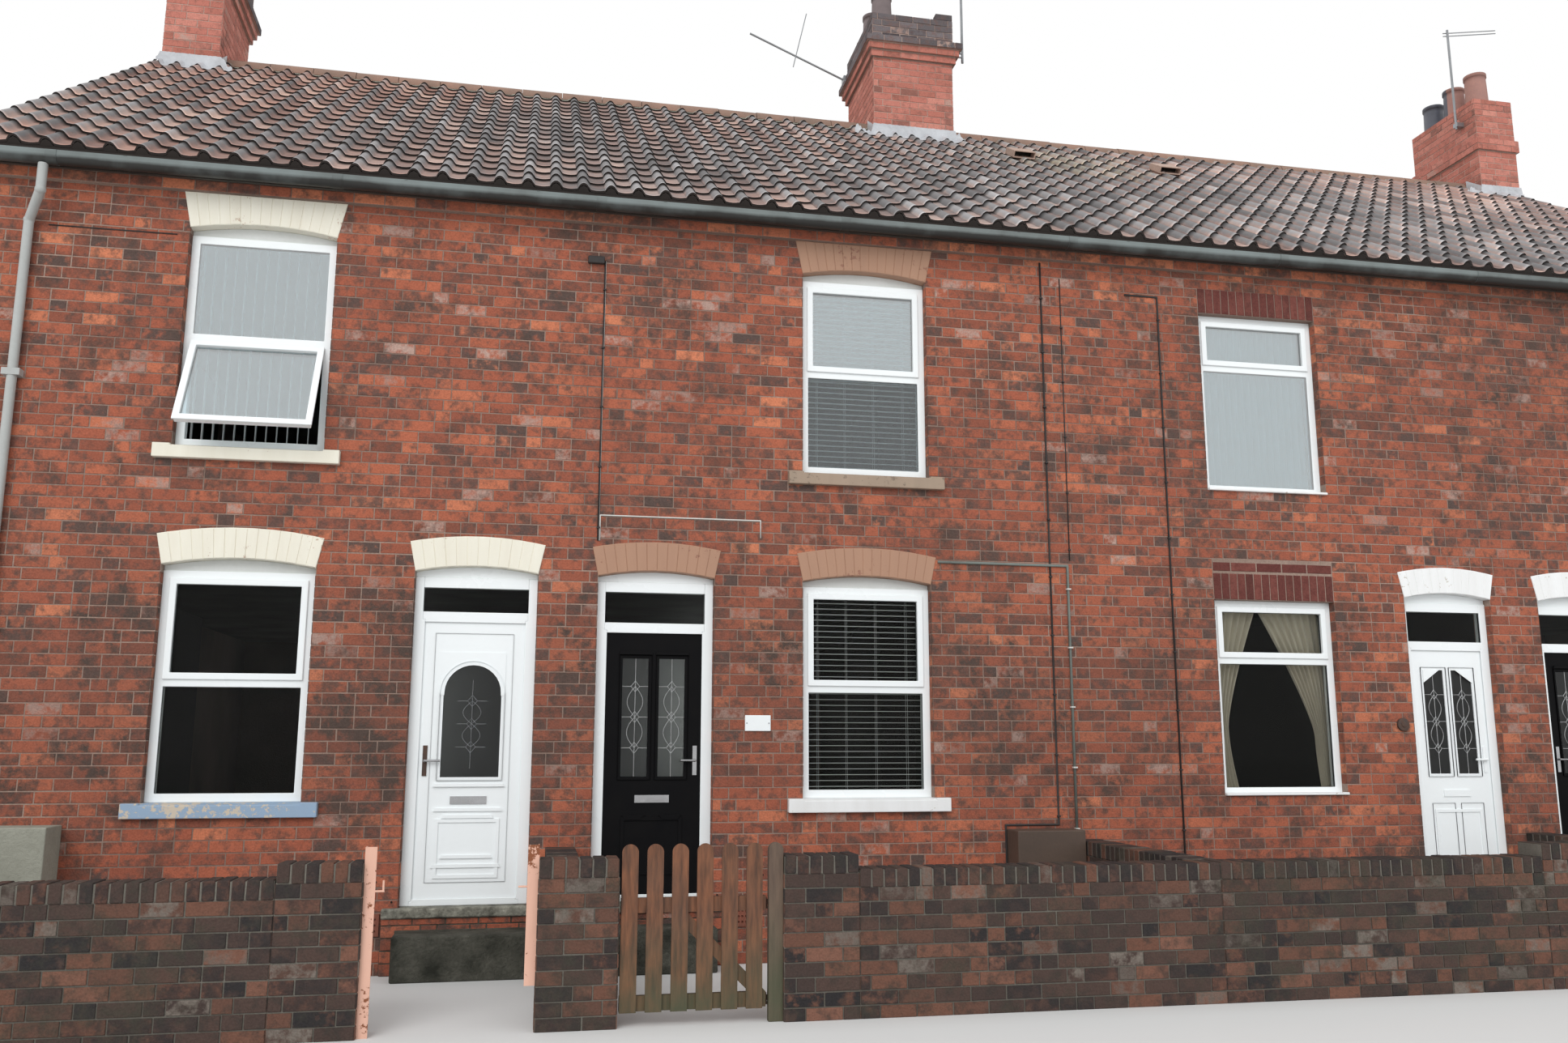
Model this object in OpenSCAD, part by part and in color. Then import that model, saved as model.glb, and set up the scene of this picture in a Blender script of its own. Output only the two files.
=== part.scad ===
// Row of four two-storey brick houses with a pantiled roof, three chimney stacks and low front walls.
// X runs along the row, the street front faces -Y, Z is up. The origin is on the ground, at the middle
// of the row, in the middle of the front wall's thickness.

/* [Row] */
// Width of one house between party wall centres
house_w = 4150; // [3900:10:4600]
// Distance from the middle of the row to the outer face of an end wall
row_half = 8620; // [8500:10:9600]
// Depth of the houses from front face to rear face
depth = 9200; // [8400:50:10000]
// Thickness of the front and rear walls
wall_t = 225; // [215:5:340]
// Thickness of the end walls
gable_t = 340; // [225:5:350]
// Thickness of the party walls
party_t = 225; // [215:5:250]
// Height of one brick course with its joint
course_h = 86; // [75:1:90]

/* [Openings] */
// Width of the brick pier between two neighbouring doors
door_pier_w = 448; // [380:2:600]
// Widths of the doorways, house by house
door_ws = [900, 900, 860, 860]; // [[820:5:960], [820:5:960], [820:5:960], [820:5:960]]
// Height of the doors' bottom above the ground
door_z = 460; // [350:5:600]
// Widths of a doorway and of a window by which the openings' middles are set out along the front
set_out_ws = [900, 1055]; // [[860:5:940], [1000:5:1130]]
// Width of brickwork between such a doorway and its window
door_to_window = 703; // [600:5:800]
// Widths of the windows, house by house
window_ws = [1055, 1055, 1130, 1055]; // [[900:5:1200], [900:5:1200], [900:5:1200], [900:5:1200]]
// Width of the rear windows
rear_window_w = 1055; // [900:5:1200]
// Width of the rear doors
rear_door_w = 900; // [820:5:960]
// How far a rear lintel runs past its opening on each side
rear_lintel_lug = 100; // [60:5:150]
// Height of the ground floor windows' bottom
low_sill_z = 1200; // [1100:5:1300]
// Height at which the ground floor arches spring
low_head_z = 2880; // [2800:5:2950]
// Height of the upper windows' bottom
up_sill_z = 3760; // [3650:5:3900]
// Height at which the upper arches spring
up_head_z = 5435; // [5350:5:5500]
// Rise of a window arch
arch_rise = 55; // [40:1:80]
// Depth of an arch from its inner to its outer curve
arch_h = 225; // [200:1:235]
// How far the flat heads of the third house lie below the ground floor arches' springing
flat_drop_low = 58; // [0:1:90]
// How far the flat heads of the third house lie below the upper arches' springing
flat_drop_up = 85; // [0:1:110]
// How far window and door frames are set back from the wall's face
reveal = 70; // [50:1:110]
// How far painted arches stand proud of the wall
arch_proud = 6; // [3:1:15]
// How far the frame heads under the arches lie below the springing
infill_drop = 35; // [15:1:60]
// Thickness of the boards between those frame heads and the arches
infill_t = 25; // [15:1:40]
// How far these boards are set back from the frames' front
infill_set = 10; // [4:1:20]

/* [Windows] */
// Width of a frame member
frame_w = 62; // [50:1:80]
// Depth of a frame
frame_d = 70; // [60:1:80]
// Height of the transom above the sill, house by house
transom_hs = [840, 840, 1115, 840]; // [[700:5:1200], [700:5:1200], [700:5:1200], [700:5:1200]]
// Width of an opening light's frame
sash_w = 48; // [35:1:60]
// How far an opening light stands in front of its frame
sash_proud = 16; // [10:1:20]
// Lap of an opening light over its frame
sash_lap = 10; // [6:1:14]
// Clearance between an opening light and its frame
sash_gap = 0.3; // [0.2:0.1:3]
// Thickness of a sealed glass pane
pane_t = 24; // [14:1:28]
// Angle at which the first house's open upper light stands
open_angle = 26; // [0:1:45]
// Height of a stone sill
sill_h = 104; // [70:1:130]
// How far a stone sill stands out from the wall
sill_proud = 55; // [30:1:90]
// How far a stone sill runs past the opening on each side
sill_lug = 120; // [60:1:160]
// Height of the thin sills of the third house
thin_sill_h = 34; // [25:1:50]

/* [Doors] */
// Width of a door frame's side member
jamb_w = 65; // [50:1:80]
// Height of the transoms over the doors, house by house
door_transom_zs = [2555, 2500, 2475, 2475]; // [[2440:5:2580], [2440:5:2580], [2440:5:2580], [2440:5:2580]]
// Height of a door frame's transom and of its bottom member
door_rail_h = 60; // [40:1:80]
// Thickness of a door leaf
leaf_t = 44; // [40:1:54]
// Clearance round a door leaf
leaf_gap = 8; // [8:0.5:10]
// Width of the stop that a leaf closes against
stop_w = 18; // [14:1:24]
// Depth of that stop
stop_d = 10; // [6:0.5:10]
// How far a fanlight's top lies below the arch's springing
fan_head = 115; // [90:5:150]
// Radius of a door hinge's pin
hinge_pin_r = 4; // [3:0.5:5]
// Height of one knuckle of a door hinge
knuckle_h = 30; // [20:1:40]
// Width of the glass in the first house's door
glass_a_w = 420; // [340:5:460]
// Width of each of the two glasses in the other doors
glass_b_w = 200; // [140:5:220]
// Height of the glass's lower edge above the leaf's foot
glass_low = 870; // [800:5:1000]
// Height of the glass's upper edge above the leaf's foot
glass_high = 1760; // [1600:5:1800]
// Height of the letter plate's middle above the leaf's foot
letter_z = 705; // [600:5:780]
// Height of the lever handle above the leaf's foot
handle_z = 990; // [900:5:1100]
// Thickness of a raised panel mould
mould_t = 8; // [5:1:14]
// Width, projection and height of a doorstep
step_size = [915, 330, 305]; // [[800:5:1100], [250:5:420], [200:5:330]]
// Thickness of the stone slab under a door
slab_t = 70; // [50:1:90]
// How far that slab stands out from the wall
slab_proud = 60; // [40:1:80]
// How far slab and brick base run past the doorway on each side
slab_lug = 110; // [60:5:150]
// How far the brick base under the slab stands out
base_proud = 35; // [20:1:50]

/* [Floors] */
// Thickness of the ground floor
floor_t = 150; // [100:5:200]
// Height of the first floor's surface
first_z = 3200; // [3100:5:3300]
// Thickness of the first floor
first_t = 220; // [180:5:260]
// Height of the upper rooms' ceiling
ceiling_z = 5620; // [5560:5:5700]
// Thickness of the ceiling
ceiling_t = 110; // [80:5:140]

/* [Roof] */
// Pitch of the roof
pitch = 34.5; // [30:0.5:40]
// Height of the roof's top surface at the eaves
eaves_top_z = 5867; // [5855:1:5900]
// How far the roof runs past the front and rear walls
eaves_out = 240; // [220:5:260]
// How far the roof runs past the end walls
verge_out = 55; // [30:1:90]
// Thickness of the tiles with their battens and rafters' tops
roof_t = 80; // [60:1:110]
// Thickness of the tiles' ends over the gutter
tile_end_t = 30; // [20:1:34]
// Width that one column of tiles covers
tile_cover = 213; // [195:1:240]
// Height of the tiles' rolls
roll_h = 58; // [35:1:65]
// Outer radius of a ridge tile
ridge_r = 115; // [95:1:130]
// Thickness of a ridge tile
ridge_tile_t = 16; // [12:1:20]
// Length of a ridge tile
ridge_tile_l = 457; // [300:1:600]
// Height of the lowest brick of the eaves course
eaves_course_z = 5716; // [5716:1:5730]
// How far the eaves course stands out
eaves_course_out = 40; // [25:1:50]
// Distance of the fascia board's front from the wall
fascia_out = 140; // [120:1:150]
// Thickness of the fascia board
fascia_t = 22; // [18:1:30]
// How far the fascia board reaches below the eaves course's top
fascia_drop = 32; // [10:1:45]
// Outer radius of the gutter
gutter_r = 56; // [50:1:65]
// Thickness of the gutter
gutter_t = 4; // [3:1:6]
// Height of the middle of the gutter's round bottom
gutter_z = 5815; // [5800:1:5822]
// Height of the gutter's straight sides
gutter_side = 35; // [0:1:40]
// Radius of a downpipe
pipe_r = 34; // [30:1:40]
// Distance of a downpipe's middle from the end wall's outer face
pipe_in = 610; // [400:5:700]
// Length of a downpipe's outlet, and the height over which its neck goes back to the wall
outlet_h = 200; // [60:5:300]
neck_drop = 180; // [120:5:300]
// How far that neck shifts the pipe towards the row's end
neck_shift = 110; // [0:5:200]

/* [Chimneys] */
// Width of the middle stack along the row
mid_stack_w = 1030; // [900:5:1200]
// Width of an end stack along the row
end_stack_w = 600; // [500:5:700]
// Depth of every stack
stack_d = 1250; // [1000:5:1400]
// Distance of the stacks' front from the ridge
stack_before = 400; // [300:5:600]
// Height at which the left and middle stacks begin to corbel out
corbel_z = 9980; // [9900:5:10100]
// How far each corbel course stands out from the one below
corbel_step = 35; // [20:1:45]
// Number of courses in the neck above the corbels
neck_courses = 4; // [2:1:5]
// How far the neck stands out from the shaft
neck_out = 10; // [0:1:60]
// Height of the right stack's band
band_z = 9600; // [9500:5:9700]
// Height of the right stack's top
right_top_z = 10360; // [10200:5:10500]
// How far the right stack's band stands out
band_out = 32; // [20:1:45]
// Outer radius of a chimney pot
pot_r = 130; // [110:1:150]
// Height of a chimney pot
pot_h = 340; // [280:5:450]
// Outer radius and height of the right stack's pots
right_pot = [145, 450]; // [[120:1:160], [350:5:500]]
// Thickness of a pot's wall
pot_t = 25; // [18:1:30]
// Thickness of the lead round the stacks
lead_t = 4; // [3:1:8]
// Height of the lead's upstand on a stack
lead_h = 120; // [90:5:160]
// How far the lead runs past a stack on its left and on its right
lead_past = [250, 150]; // [[60:5:300], [60:5:300]]
// How far the lead reaches down in front of a stack
lead_down = 170; // [120:5:250]

/* [Front walls] */
// Distance of the front walls' street face from the houses
garden_y = 2000; // [1800:10:2400]
// Thickness of the front walls
garden_t = 225; // [215:1:240]
// Height of the front walls
garden_h = 870; // [830:5:930]
// Height of the raised wall ends and piers
garden_end_h = 955; // [935:5:1050]
// Length of a raised wall end and width of a pier
garden_end_l = 466; // [440:1:500]
// Height of the brick on edge coping
coping_h = 108; // [100:1:120]
// How far the brickwork under the coping is set back
coping_out = 5; // [5:1:12]
// Thickness of the walls between the front plots
divide_t = 215; // [200:1:230]
// Distance of a pier's edge from the party line between two doors
pier_in = 295; // [250:5:350]
// Clear width of a gateway with a timber gate
gateway_w = 984; // [900:2:1000]
// Clear width of a gateway with steel posts, wall to wall
post_gateway_w = 974; // [900:2:1100]
// Width of a steel gate post
post_w = 65; // [50:1:80]
// Thickness of a steel gate post's flanges
post_t = 8; // [5:1:10]
// Height of the steel gate posts
post_h = 1035; // [900:5:1100]

/* [Timber gate] */
// Number of pickets
picket_n = 6; // [5:1:6]
// Width of a picket
picket_w = 97; // [75:1:105]
// Distance from one picket to the next
picket_pitch = 149; // [140:1:152]
// Thickness of a picket
picket_t = 20; // [16:1:24]
// Height of the pickets' tops above the ground
picket_top = 1030; // [900:5:1100]
// Gap under the gate
gate_gap = 80; // [40:5:120]
// Depth of the upper rail's foot below the pickets' tops, and of the lower rail's foot above theirs
rail_places = [395, 5]; // [[300:5:450], [0:5:60]]
// Width and thickness of a gate rail
rail = [85, 38]; // [[70:1:100], [30:1:45]]
// Width and thickness of the gate's timber post
gate_post_size = [90, 50]; // [[80:1:100], [45:1:52]]
// Clearance between the gate and the pier or post on either side
gate_clear = 14; // [12:1:20]
// Radius of the gate's hinge pins
pin_r = 6; // [5:0.5:8]
// Clearance of a hinge's eye or knuckle round its pin
pin_gap = 0.5; // [0.3:0.1:1]

/* [Services] */
// Radius of the thick cables on the front
cable_r = 8; // [5:0.5:12]
// Radius of the thin cables on the front
thin_cable_r = 5; // [3:0.5:7]
// Radius of the conduit over the second house's window
conduit_r = 11; // [8:0.5:14]
// Places of three upright cables, each from the party line on its left, and of the one on the third house
cable_xs = [215, 3910, 4086, 840]; // [[190:5:215], [3850:5:3950], [4060:1:4110], [700:5:1100]]
// End of the cable over the second house's window wall, from the party line on its left
cable_end_x = 1485; // [1400:5:1540]
// Heights at which the cables start, from the top down
cable_top_zs = [5690, 5560, 5460, 5370]; // [[5600:5:5700], [5500:5:5590], [5420:5:5490], [5300:5:5410]]
// Heights at which the cables turn or end lower down
cable_low_zs = [3350, 3210, 3065, 985]; // [[3300:5:3400], [3180:5:3280], [2990:5:3100], [965:5:1000]]
// Width, depth and height of the brown box beside the middle of the row
brown_box = [560, 240, 955]; // [[450:5:650], [200:5:300], [850:5:960]]
// Width, depth and height of the concrete block at the left end
block = [535, 300, 1060]; // [[450:5:600], [200:5:350], [900:5:1100]]
// Width, depth and height of the junction box under the eaves
junction_box = [130, 40, 60]; // [[100:5:150], [30:1:60], [50:1:80]]
// Radius of the aerials' poles
pole_r = 16; // [12:1:20]
// Heights of the upright poles over the tops of the middle and right stacks
pole_over = [900, 1150]; // [[700:10:1100], [900:10:1300]]
// Length along the row and rise of the slanted boom
boom = [1270, 520]; // [[1000:10:1500], [400:10:650]]
// Length of the booms on the right stack's pole
right_boom_l = 860; // [600:10:1000]
// Width, height and thickness of an air brick
air_brick = [225, 150, 20]; // [[200:1:240], [70:1:160], [12:1:30]]

/* [Hidden] */
$fn = 48;

// Places across the depth: outer and inner faces of the front and rear walls, and the ridge
face = -wall_t / 2;
inner = wall_t / 2;
rear_face = face + depth;
rear_inner = rear_face - wall_t;
ridge_y = face + depth / 2;
end_inner = row_half - gable_t;

// Houses from left to right: place of the party line beside the door, and the side the house lies on
house_n = 4;
party_x = [-house_w, -house_w, house_w, house_w];
side = [-1, 1, -1, 1];
flat_house = 2;
function door_x(i) = party_x[i] + side[i] * (door_pier_w + set_out_ws[0]) / 2;
function window_x(i) = party_x[i]
    + side[i] * (door_pier_w / 2 + set_out_ws[0] + door_to_window + set_out_ws[1] / 2);
function rise(i) = i == flat_house ? 0 : arch_rise;
function low_head(i) = low_head_z - (i == flat_house ? flat_drop_low : 0);
function up_head(i) = up_head_z - (i == flat_house ? flat_drop_up : 0);
function leaf_w(i) = door_ws[i] - 2 * (jamb_w + leaf_gap);
leaf_z = door_z + door_rail_h / 2 + leaf_gap;
function leaf_h(i) = door_transom_zs[i] - door_rail_h / 2 - leaf_gap - leaf_z;

// Roof: underside and top of the slope over a place y on the front half
slope = tan(pitch);
eaves_y = face - eaves_out;
roof_drop = roof_t / cos(pitch);
function roof_top(y) = eaves_top_z + (y - eaves_y) * slope;
function roof_under(y) = roof_top(y) - roof_drop;
stack_y = depth / 2 - stack_before;
// Lead up the stacks' sides, ending before the ridge tiles
lead_side = stack_before - ridge_r - 15;
ridge_top = roof_top(ridge_y);
eps = 1;

// Radius of an arch of a given span and rise
function arch_radius(w, r) = (w * w / 4 + r * r) / (2 * r);

// A flat shape stood up and given a thickness d from the place y towards the rear
module stand(y, d) translate([0, y + d, 0]) rotate([90, 0, 0]) linear_extrude(d) children();

// A profile across the houses, drawn in Y and Z, run along the row from x0 to x1
module run(x0, x1) translate([x0, 0, 0]) rotate([90, 0, 90]) linear_extrude(x1 - x0) children();

// Outline of an opening of width w and height h with an arched head
module opening(x, z, w, h, r) {
    translate([x - w / 2, z]) square([w, h]);
    if (r > 0) intersection() {
        translate([x, z + h + r - arch_radius(w, r)]) circle(arch_radius(w, r), $fn = 360);
        translate([x - w / 2, z + h - eps]) square([w, r + 2 * eps]);
    }
}

// Outline of a segmental arch over an opening, its ends cut towards the arch's centre and a hair clear
// of the wall. An arch under the eaves course has a level top at the height top, others a curved one.
end_gap = 0.05;
module arch(x, z, w, r, top = 0) {
    big = arch_radius(w, r);
    a = asin(w / 2 / big);
    far = top > 0 ? (top - z - r + big) / cos(a) : (big + arch_h) * 1.1;
    lift = end_gap / sin(a);
    translate([x, z + r - big]) difference() {
        intersection() {
            polygon([[0, lift], [-far * sin(a) + lift * tan(a), far * cos(a)],
                [far * sin(a) - lift * tan(a), far * cos(a)]]);
            if (top > 0) translate([-w, 0]) square([2 * w, far * cos(a)]);
            else circle(big + arch_h, $fn = 360);
        }
        circle(big, $fn = 360);
    }
}

// Seat of an arch in the wall, with the rise of the opening under it
module arch_seat(x, z, w, r, top = 0) {
    big = arch_radius(w, r);
    a = asin(w / 2 / big);
    far = top > 0 ? (top - z - r + big) / cos(a) : (big + arch_h) * 1.1;
    translate([x, z + r - big]) intersection() {
        polygon([[-w / 2, big - r - eps], [-w / 2, big - r], [-far * sin(a), far * cos(a)],
            [far * sin(a), far * cos(a)], [w / 2, big - r], [w / 2, big - r - eps]]);
        if (top > 0) translate([-w, 0]) square([2 * w, far * cos(a)]);
        else circle(big + arch_h, $fn = 360);
    }
}

// Head of a window: an arch, or a course of bricks on end over a flat head
module head(i, z, w) {
    if (i == flat_house) translate([window_x(i) - w / 2, z]) square([w, arch_h]);
    else arch(window_x(i), z, w, rise(i), z == up_head_z ? eaves_course_z : 0);
}

door_rise = arch_rise * 0.85;
module door_arch(i) arch(door_x(i), low_head_z, door_ws[i], door_rise);

// Holes in the front wall for a window with its head
module window_hole(i, sill, z) {
    h = z - sill + (i == flat_house ? arch_h : 0);
    translate([window_x(i) - window_ws[i] / 2, sill]) square([window_ws[i], h]);
    if (i != flat_house)
        arch_seat(window_x(i), z, window_ws[i], rise(i), z == up_head_z ? eaves_course_z : 0);
}

// Everything above the roof's underside, taken off walls that reach into the roof
module above_roof(x0, x1) run(x0, x1) polygon([
    [eaves_y - 500, roof_under(eaves_y - 500)], [ridge_y, roof_under(ridge_y)],
    [2 * ridge_y - eaves_y + 500, roof_under(eaves_y - 500)],
    [2 * ridge_y - eaves_y + 500, ridge_top + 900], [eaves_y - 500, ridge_top + 900]]);

// Seats of the stone sills in the front wall, as tall and as long as the sills
module sill_seat(i, z, h) translate([window_x(i) - window_ws[i] / 2 - sill_lug, z - h])
    square([window_ws[i] + 2 * sill_lug, h]);

plinth_z = door_z - slab_t;
module ground_wall(x0, x1) stand(face, wall_t) difference() {
    translate([x0, plinth_z]) square([x1 - x0, low_head_z - plinth_z]);
    for (i = [0 : house_n - 1]) {
        window_hole(i, low_sill_z, low_head(i));
        translate([door_x(i) - door_ws[i] / 2, plinth_z - eps]) square([door_ws[i], low_head_z]);
    }
    for (i = [0 : house_n - 1]) if (i != flat_house) sill_seat(i, low_sill_z, sill_h);
}

// Front wall up to the doorsteps' slabs, and its parts beside the doorways
module front_plinth() color("#8a4636")
    translate([-row_half, face, 0]) cube([2 * row_half, wall_t, plinth_z]);
module front_walls() color("#8e4a38") {
    ground_wall(-row_half, door_x(0) - door_ws[0] / 2);
    ground_wall(door_x(1) + door_ws[1] / 2, door_x(2) - door_ws[2] / 2);
    ground_wall(door_x(3) + door_ws[3] / 2, row_half);
}
module front_piers() color("#8a4636") {
    ground_wall(door_x(0) + door_ws[0] / 2, door_x(1) - door_ws[1] / 2);
    ground_wall(door_x(2) + door_ws[2] / 2, door_x(3) - door_ws[3] / 2);
}

module eaves_band(out) run(-row_half, row_half)
    translate([-out, eaves_course_z]) square([out, course_h]);

module front_wall_upper() color("#9a5040") {
    difference() {
        stand(face, wall_t) difference() {
            translate([-row_half, low_head_z]) square([2 * row_half, roof_under(inner) - low_head_z + 20]);
            for (i = [0 : house_n - 1]) {
                window_hole(i, up_sill_z, up_head(i));
                arch_seat(door_x(i), low_head_z, door_ws[i], door_rise);
                if (i != flat_house) arch_seat(window_x(i), low_head_z, window_ws[i], rise(i));
                else window_hole(i, low_sill_z, low_head(i));
            }
            for (i = [0 : house_n - 1]) if (i != flat_house) sill_seat(i, up_sill_z, sill_h);
        }
        above_roof(-row_half - eps, row_half + eps);
    }
    translate([0, face, 0]) eaves_band(eaves_course_out);
}

module rear_wall() color("#8e4a38") {
    difference() {
        stand(rear_inner, wall_t) difference() {
            translate([-row_half, 0]) square([2 * row_half, roof_under(inner) + 20]);
            for (i = [0 : house_n - 1]) {
                opening(window_x(i), low_sill_z, rear_window_w, low_head_z - low_sill_z, 0);
                opening(window_x(i), up_sill_z, rear_window_w, up_head_z - up_sill_z, 0);
                opening(door_x(i), door_z, rear_door_w, low_head_z - door_z, 0);
                for (z = [low_head_z, up_head_z]) rear_lintel(window_x(i), z, rear_window_w);
                rear_lintel(door_x(i), low_head_z, rear_door_w);
                for (z = [low_sill_z, up_sill_z]) rear_sill(window_x(i), z);
            }
        }
        above_roof(-row_half - eps, row_half + eps);
    }
    translate([0, rear_face + eaves_course_out, 0]) eaves_band(eaves_course_out);
}

// Plain stone lintels and sills of the rear
module rear_lintel(x, z, w) translate([x - w / 2 - rear_lintel_lug, z])
    square([w + 2 * rear_lintel_lug, arch_h]);
module rear_sill(x, z) translate([x - rear_window_w / 2 - sill_lug, z - sill_h])
    square([rear_window_w + 2 * sill_lug, sill_h]);

module end_wall_profile() polygon([[inner, 0], [rear_inner, 0], [rear_inner, roof_under(inner)],
    [ridge_y, roof_under(ridge_y)], [inner, roof_under(inner)]]);

// Room for the stacks in the walls that carry them
stack_seat_z = min(roof_under(face + stack_y), roof_under(2 * ridge_y - face - stack_y - stack_d)) - 150;
module stack_room(x, w) translate([x - w / 2, face + stack_y, stack_seat_z])
    cube([w, stack_d, ridge_top]);

module end_walls() color("#8e4a38")
    for (s = [-1, 1]) difference() {
        run(s < 0 ? -row_half : end_inner, s < 0 ? -end_inner : row_half) end_wall_profile();
        stack_room(s * (row_half - end_stack_w / 2), end_stack_w + eps);
    }

module party_walls() color("#7d6a5e")
    for (x = [-house_w, 0, house_w]) difference() {
        run(x - party_t / 2, x + party_t / 2) end_wall_profile();
        if (x == 0) stack_room(0, mid_stack_w);
    }

// Clear widths of the four houses between their walls
house_x0 = [-end_inner, -house_w + party_t / 2, party_t / 2, house_w + party_t / 2];
house_x1 = [-house_w - party_t / 2, -party_t / 2, house_w - party_t / 2, end_inner];

// A floor or ceiling in every house, cut back round the chimney breasts
module storey(z, t) difference() {
    for (i = [0 : house_n - 1])
        translate([house_x0[i], inner, z - t]) cube([house_x1[i] - house_x0[i], rear_inner - inner, t]);
    breasts(0, z - t - eps, t + 2 * eps);
}

// Chimney breasts beside the party wall and inside the end walls
breast_w = (mid_stack_w - party_t) / 2;
end_breast_w = end_stack_w - gable_t;
module breasts(g, z, h) {
    for (s = [-1, 1]) {
        translate([s * (party_t + breast_w) / 2 - breast_w / 2 - g, face + stack_y - g, z])
            cube([breast_w + 2 * g, stack_d + 2 * g, h]);
        translate([s * (end_inner - end_breast_w / 2) - end_breast_w / 2 - g, face + stack_y - g, z])
            cube([end_breast_w + 2 * g, stack_d + 2 * g, h]);
    }
}

module ground_floors() color("#8a6a48") storey(door_z, floor_t);
module upper_floors() color("#8a6a48") {
    storey(first_z, first_t);
    storey(ceiling_z + ceiling_t, ceiling_t);
}

module slope_profile() {
    y = face - fascia_out;
    end_drop = tile_end_t / cos(pitch);
    polygon([[eaves_y, roof_top(eaves_y) - end_drop], [eaves_y, roof_top(eaves_y)], [ridge_y, ridge_top],
        [ridge_y, ridge_top - roof_drop], [y, roof_under(y)], [y, roof_top(y) - end_drop]]);
}

module stack_holes() {
    stack_room(0, mid_stack_w);
    for (s = [-1, 1]) stack_room(s * (row_half - end_stack_w / 2), end_stack_w);
}

// Section of one column of pantiles, as [share of its width, height over the slab]
tile_profile = [[0, 0.21], [0.08, 0.72], [0.21, 1], [0.34, 0.72], [0.42, 0.21], [0.71, 0.07]];
column_n = round(2 * (row_half + verge_out) / tile_cover);
column_w = 2 * (row_half + verge_out) / column_n;
roll_start = 9;
module tile_columns() {
    x0 = -row_half - verge_out;
    l = (ridge_y - ridge_r - 10 - eaves_y) / cos(pitch) - roll_start;
    translate([0, eaves_y, roof_top(eaves_y)]) rotate([pitch, 0, 0]) stand(roll_start, l) polygon(concat(
        [for (k = [0 : column_n - 1], p = tile_profile) [x0 + (k + p[0]) * column_w, p[1] * roll_h]],
        [[-x0, tile_profile[0][1] * roll_h], [-x0, -20], [x0, -20]]));
}
module roof_front() color("#5d4238") difference() {
    union() {
        run(-row_half - verge_out, row_half + verge_out) slope_profile();
        tile_columns();
    }
    stack_holes();
}
module roof_rear() color("#5d4238") difference() {
    translate([0, 2 * ridge_y, 0]) mirror([0, 1, 0]) union() {
        run(-row_half - verge_out, row_half + verge_out) slope_profile();
        tile_columns();
    }
    stack_holes();
}

// Half-round ridge tiles, bedded over the top of the two slopes, between and beside the stacks
ridge_z = ridge_top - ridge_r * 0.42;
module ridge_run(x0, x1) difference() {
    intersection() {
        union() {
            translate([x0, ridge_y, ridge_z]) rotate([0, 90, 0]) cylinder(h = x1 - x0, r = ridge_r);
            for (x = [x0 : ridge_tile_l : x1 - ridge_tile_t])
                translate([x, ridge_y, ridge_z]) rotate([0, 90, 0]) cylinder(h = 30, r = ridge_r + 8);
        }
        translate([x0, ridge_y - 200, ridge_z]) cube([x1 - x0, 400, 300]);
    }
    run(x0 - eps, x1 + eps) polygon([[ridge_y, ridge_top], [ridge_y - 300, ridge_top - 300 * slope],
        [ridge_y - 300, 0], [ridge_y + 300, 0], [ridge_y + 300, ridge_top - 300 * slope]]);
    translate([x0 - eps, ridge_y, ridge_z]) rotate([0, 90, 0])
        cylinder(h = x1 - x0 + 2 * eps, r = ridge_r - ridge_tile_t);
}
module ridge_tiles() color("#7a4a38") {
    ridge_run(-row_half + end_stack_w, -mid_stack_w / 2);
    ridge_run(mid_stack_w / 2, row_half - end_stack_w);
}

// Fascia board with its soffit, seated on the eaves course and under the roof's edge
module fascia_profile() {
    y = face - fascia_out;
    z = eaves_course_z + course_h;
    polygon([[y, z - fascia_drop], [y + fascia_t, z - fascia_drop], [y + fascia_t, z], [face, z],
        [face, z + fascia_t], [y + fascia_t, z + fascia_t], [y + fascia_t, roof_under(y + fascia_t)],
        [y, roof_under(y)]]);
}
module both_eaves() {
    children();
    translate([0, 2 * ridge_y, 0]) mirror([0, 1, 0]) children();
}
module fascias() color("#26221f") both_eaves()
    run(-row_half, row_half) fascia_profile();

// Gutter with a round bottom and straight sides against the fascia, its round part closed at the ends
gutter_y = face - fascia_out - gutter_r;
module gutter_bottom(r) intersection() {
    translate([gutter_y, gutter_z]) circle(r);
    translate([gutter_y - 2 * r, gutter_z - 2 * r]) square([4 * r, 2 * r]);
}
module gutter_sides(r, h) translate([gutter_y - r, gutter_z]) square([2 * r, h]);
module gutters() color("#3c4140") both_eaves() difference() {
    run(-row_half, row_half) {
        gutter_bottom(gutter_r);
        gutter_sides(gutter_r, gutter_side);
    }
    run(-row_half + gutter_t, row_half - gutter_t) gutter_bottom(gutter_r - gutter_t);
    run(-row_half - eps, row_half + eps) gutter_sides(gutter_r - gutter_t, gutter_side + eps);
}

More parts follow.
